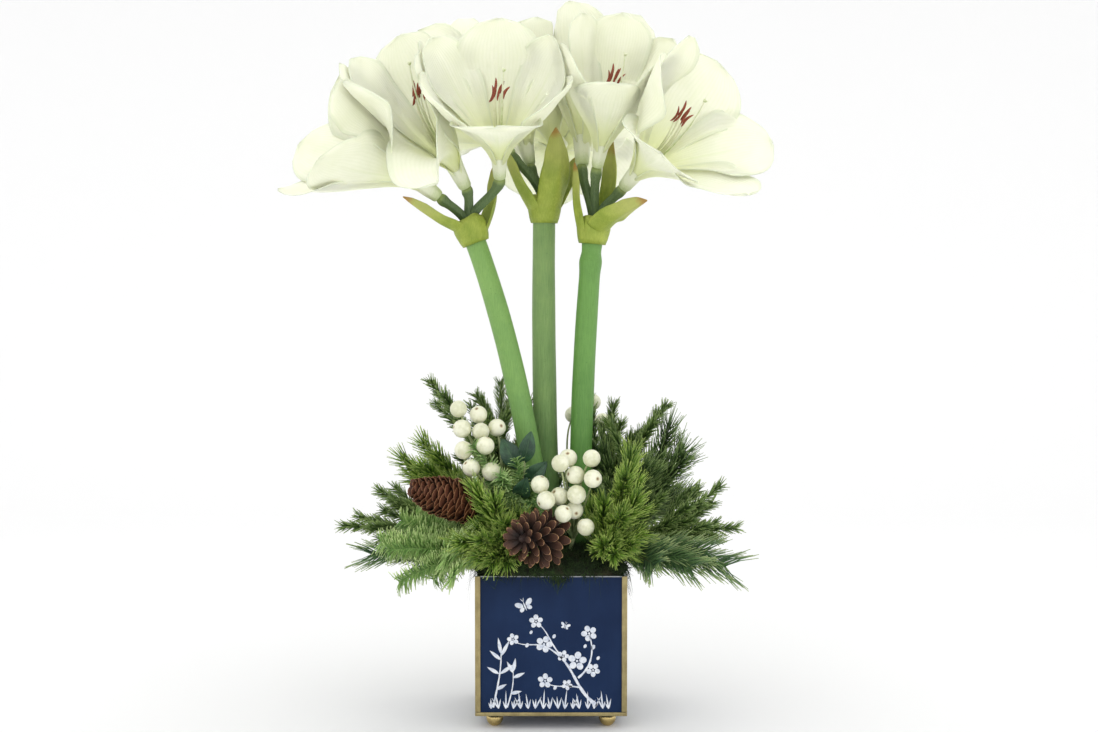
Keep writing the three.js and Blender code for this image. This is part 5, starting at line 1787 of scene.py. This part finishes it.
# %% The picks: kind, where the stalk stands, and the tips that its branchlets reach
PICKS = {
    "left_low": ("fir", (190, 8, 64, 167), [(-138, -22, 160), (-182, -44, 172), (-120, 22, 158)]),
    "left_sprig": ("sprig", (172, 22, 56, 171), [(-214, -8, 195), (-180, 18, 228)]),
    "left_frost": ("frost", (216, 22, 62, 168), [(-150, -90, 152), (-168, -82, 190), (-150, -62, 209)]),
    "left_high": ("pine", (160, 40, 46, 175), [(-154, 8, 262), (-134, 30, 277)]),
    "left_tall": ("sprig", (140, 62, 36, 178), [(-127, 36, 342), (-54, 46, 340)]),
    "front_left": ("pine", (238, 32, 56, 170), [(-74, -84, 244), (-90, -104, 194), (-58, -106, 174)]),
    "front_frost": ("curl", (252, 62, 46, 175), [(-36, -60, 270), (-79, -58, 284)]),
    "front_right": ("pine", (312, 32, 58, 169), [(80, -74, 278), (84, -94, 236), (62, -106, 182)]),
    "right_low": ("fir", (336, 14, 64, 167), [(174, -70, 164), (138, -84, 166), (100, -98, 170)]),
    "right_sprig": ("sprig", (352, 22, 64, 168), [(188, -30, 197), (174, -8, 236)]),
    "right_high": ("plume", (12, 46, 60, 171), [(122, 0, 296), (136, -20, 266)]),
    "right_tall": ("sprig", (36, 60, 42, 177), [(121, 22, 318), (66, 44, 317)]),
    "back_right": ("pine", (46, 24, 60, 168), [(150, 60, 222), (110, 104, 190), (70, 110, 246)]),
    "back_middle": ("fir", (92, 22, 60, 168), [(20, 150, 176), (-28, 128, 236), (52, 118, 156)]),
    "back_left": ("frost", (134, 22, 60, 168), [(-136, 92, 196), (-92, 124, 166), (-84, 96, 258)]),
}


# %% Draw the lines of a pick: branchlets, and side twigs that get shorter towards each tip
BARE = 4  # no needles stand on the first stretch of a branchlet
TWIG_BARE = 1.5  # nor on that of a side twig
ALL_BARE = 99  # longer than a stalk
OVER_MOSS = 180  # the lowest that a filling branchlet ends
STRAY = 20  # how far its end strays from the middle of a gap
PATH_POINTS = 26
TWIG_POINTS = 9


class Lines:
    def __init__(self):
        self.points, self.edges, self.girths, self.needled = [], [], [], []

    def add(self, path, girths, bare):
        """Adds a line whose first stretch, bare millimetres long, carries no needles."""
        start = len(self.points)
        travelled = np.concatenate([[0], np.cumsum(np.linalg.norm(np.diff(path, axis=0), axis=1))])
        self.points.extend(path)
        self.girths.extend(girths)
        self.needled.extend(np.where(travelled < bare, 0.0, 1.0))
        self.edges.extend((start + i, start + i + 1) for i in range(len(path) - 1))

    def build(self, name):
        values = {"girth": np.array(self.girths) * MM, "needled": self.needled}
        return line_mesh(name, self.points, self.edges, values)


# %% Side twigs, the tips of filling branchlets, and a whole pick
def side_twig(lines, path, share, turn, length, kind, draw):
    at = share * (len(path) - 1)
    i = min(int(at), len(path) - 2)
    start = path[i] + (path[i + 1] - path[i]) * (at - i)
    way = unit(path[i + 1] - path[i])
    level = unit(np.cross(way, UP) + 1e-6)
    lift = np.cross(level, way)
    out = level * math.cos(turn) + lift * math.sin(turn) * (1 - kind["flat"])
    angle = math.radians(kind["side_angle"] * draw.uniform(0.8, 1.2))
    first = unit(way * math.cos(angle) + unit(out) * math.sin(angle))
    last = unit(first + 0.5 * way - kind["droop"] * 1.6 * UP)
    elbow = start + first * 0.5 * length
    twig = curve([start, elbow, elbow + last * 0.5 * length], TWIG_POINTS)
    lines.add(twig, np.linspace(0.75, 0.35, TWIG_POINTS), TWIG_BARE)


def filling_tips(kind, stalk, tips, draw):
    """Shorter branchlets that fill a pick: between its tips, and a few that lean in towards the stems."""
    tips = [np.array(tip, float) for tip in tips]
    extra = []
    for one, other in zip(tips, tips[1:] + tips[:1]):
        for part in (1.0, 0.7)[: kind["extra"]]:
            between = (one + other) / 2 + draw.uniform(-STRAY, STRAY, 3)
            between[2] = max(between[2], OVER_MOSS)
            extra.append(stalk.fork + part * kind["fill"] * (between - stalk.fork))
    for height in kind.get("rise", (50, 85))[: kind["extra"]]:
        extra.append(stalk.fork * (0.7, 0.7, 1) + draw.uniform(-14, 14, 3) + (0, 0, height))
    return tips, extra


def pick_lines(kind, stalk, tips, draw):
    lines = Lines()
    lines.add(np.array([stalk.root, stalk.fork]), [STALK, 1.8], ALL_BARE)
    main, extra = filling_tips(kind, stalk, tips, draw)
    for number, tip in enumerate(main + extra):
        reach = np.linalg.norm(tip - stalk.fork)
        over = stalk.fork + 0.25 * reach * stalk.way + 0.25 * (tip - stalk.fork)
        path = curve([stalk.fork, over, tip], PATH_POINTS)
        lines.add(path, np.linspace(1.35, 0.5, PATH_POINTS), BARE)
        count = kind["side_twigs"] if number < len(main) else min(kind["side_twigs"], 1)
        for n in range(count):
            share = 0.18 + 0.6 * (n + draw.uniform(-0.2, 0.2)) / count
            for hand in (0, math.pi):
                length = reach * kind["side_length"] * (1.05 - 0.6 * share) * draw.uniform(0.8, 1.15)
                turn = hand + draw.uniform(-0.9, 0.9)
                side_twig(lines, path, share + draw.uniform(0, 0.08), turn, length, kind, draw)
    return lines


# %% Grow the fifteen picks
needle_faces = 0
for order, (name, (kind_name, at, tips)) in enumerate(PICKS.items()):
    kind = KINDS[kind_name]
    draw = np.random.default_rng(100 + order)
    spray = pick_lines(kind, Stalk(*at), tips, draw).build("spray_" + name)
    twigs.grow(spray, {**kind["values"], "Seed": order})
    finished(spray, "needles_" + kind.get("slot", kind_name), "evergreen_" + name)
    needle_faces += len(spray.data.polygons)
    print("pick", name, kind_name, len(spray.data.polygons), "faces")
print("evergreen faces in all:", needle_faces)

# %% [markdown]
# ## Floor and light
# The object stands on a plain pale floor that runs up behind it, as on a photographer's paper roll. Large
# soft lights from above and both sides leave only faint shadows, and a bright even world fills them.

# %% Floor
floor_finish = Finish("pale_floor")
floor_finish.done(Base_Color=(0.86, 0.86, 0.86), Roughness=0.9)
paper = bmesh.new()
FRONT, COVE, TOP, HALF_WIDE = -9.0, 1.4, 5.0, 12  # metres
bend = np.linspace(0, math.pi / 2, 24)
cove = zip(COVE + COVE * np.sin(bend), COVE - COVE * np.cos(bend))
sweep = [(FRONT, 0.0), (COVE, 0.0), *cove, (2 * COVE, TOP)]
rows = [[paper.verts.new((x, y, z)) for x in (-HALF_WIDE, HALF_WIDE)] for y, z in sweep]
for low, high in zip(rows, rows[1:]):
    paper.faces.new([low[0], low[1], high[1], high[0]]).smooth = True
floor_mesh = bpy.data.meshes.new("paper_floor")
paper.to_mesh(floor_mesh)
paper.free()
floor_mesh.materials.append(floor_finish.material)
floor = in_scene("paper_floor", floor_mesh)
floor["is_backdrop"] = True


# %% Lights
def soft_light(name, place, target, size, power):
    data = bpy.data.lights.new(name, "AREA")
    data.shape = "RECTANGLE"
    data.size, data.size_y = size
    data.energy = power
    light = in_scene(name, data)
    light.location = place
    way = Vector(target) - Vector(place)
    light.rotation_euler = way.to_track_quat("-Z", "Y").to_euler()


soft_light("key", (-0.9, -1.9, 1.6), (0, 0, 0.4), (1.6, 1.6), 3.9)
soft_light("side", (1.7, -1.1, 0.9), (0, 0, 0.35), (1.2, 1.6), 2.1)
soft_light("top", (0.1, 0.4, 1.9), (0, 0, 0.4), (1.6, 1.2), 3.2)
world = bpy.data.worlds.new("studio")
world.use_nodes = True
background = world.node_tree.nodes["Background"]
background.inputs["Color"].default_value = (1, 1, 1, 1)
background.inputs["Strength"].default_value = 1.18
bpy.context.scene.world = world
bpy.context.scene.view_settings.view_transform = "Standard"

# %% [markdown]
# Last, the sizes: the box of the imported model and the box of the dressed one, in millimetres, to compare.

# %% Sizes
visual_box = [list(corner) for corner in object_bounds()]
print("packed box, mm:", [[round(v / MM) for v in corner] for corner in cad_box])
print("dressed box, mm:", [[round(v / MM) for v in corner] for corner in visual_box])
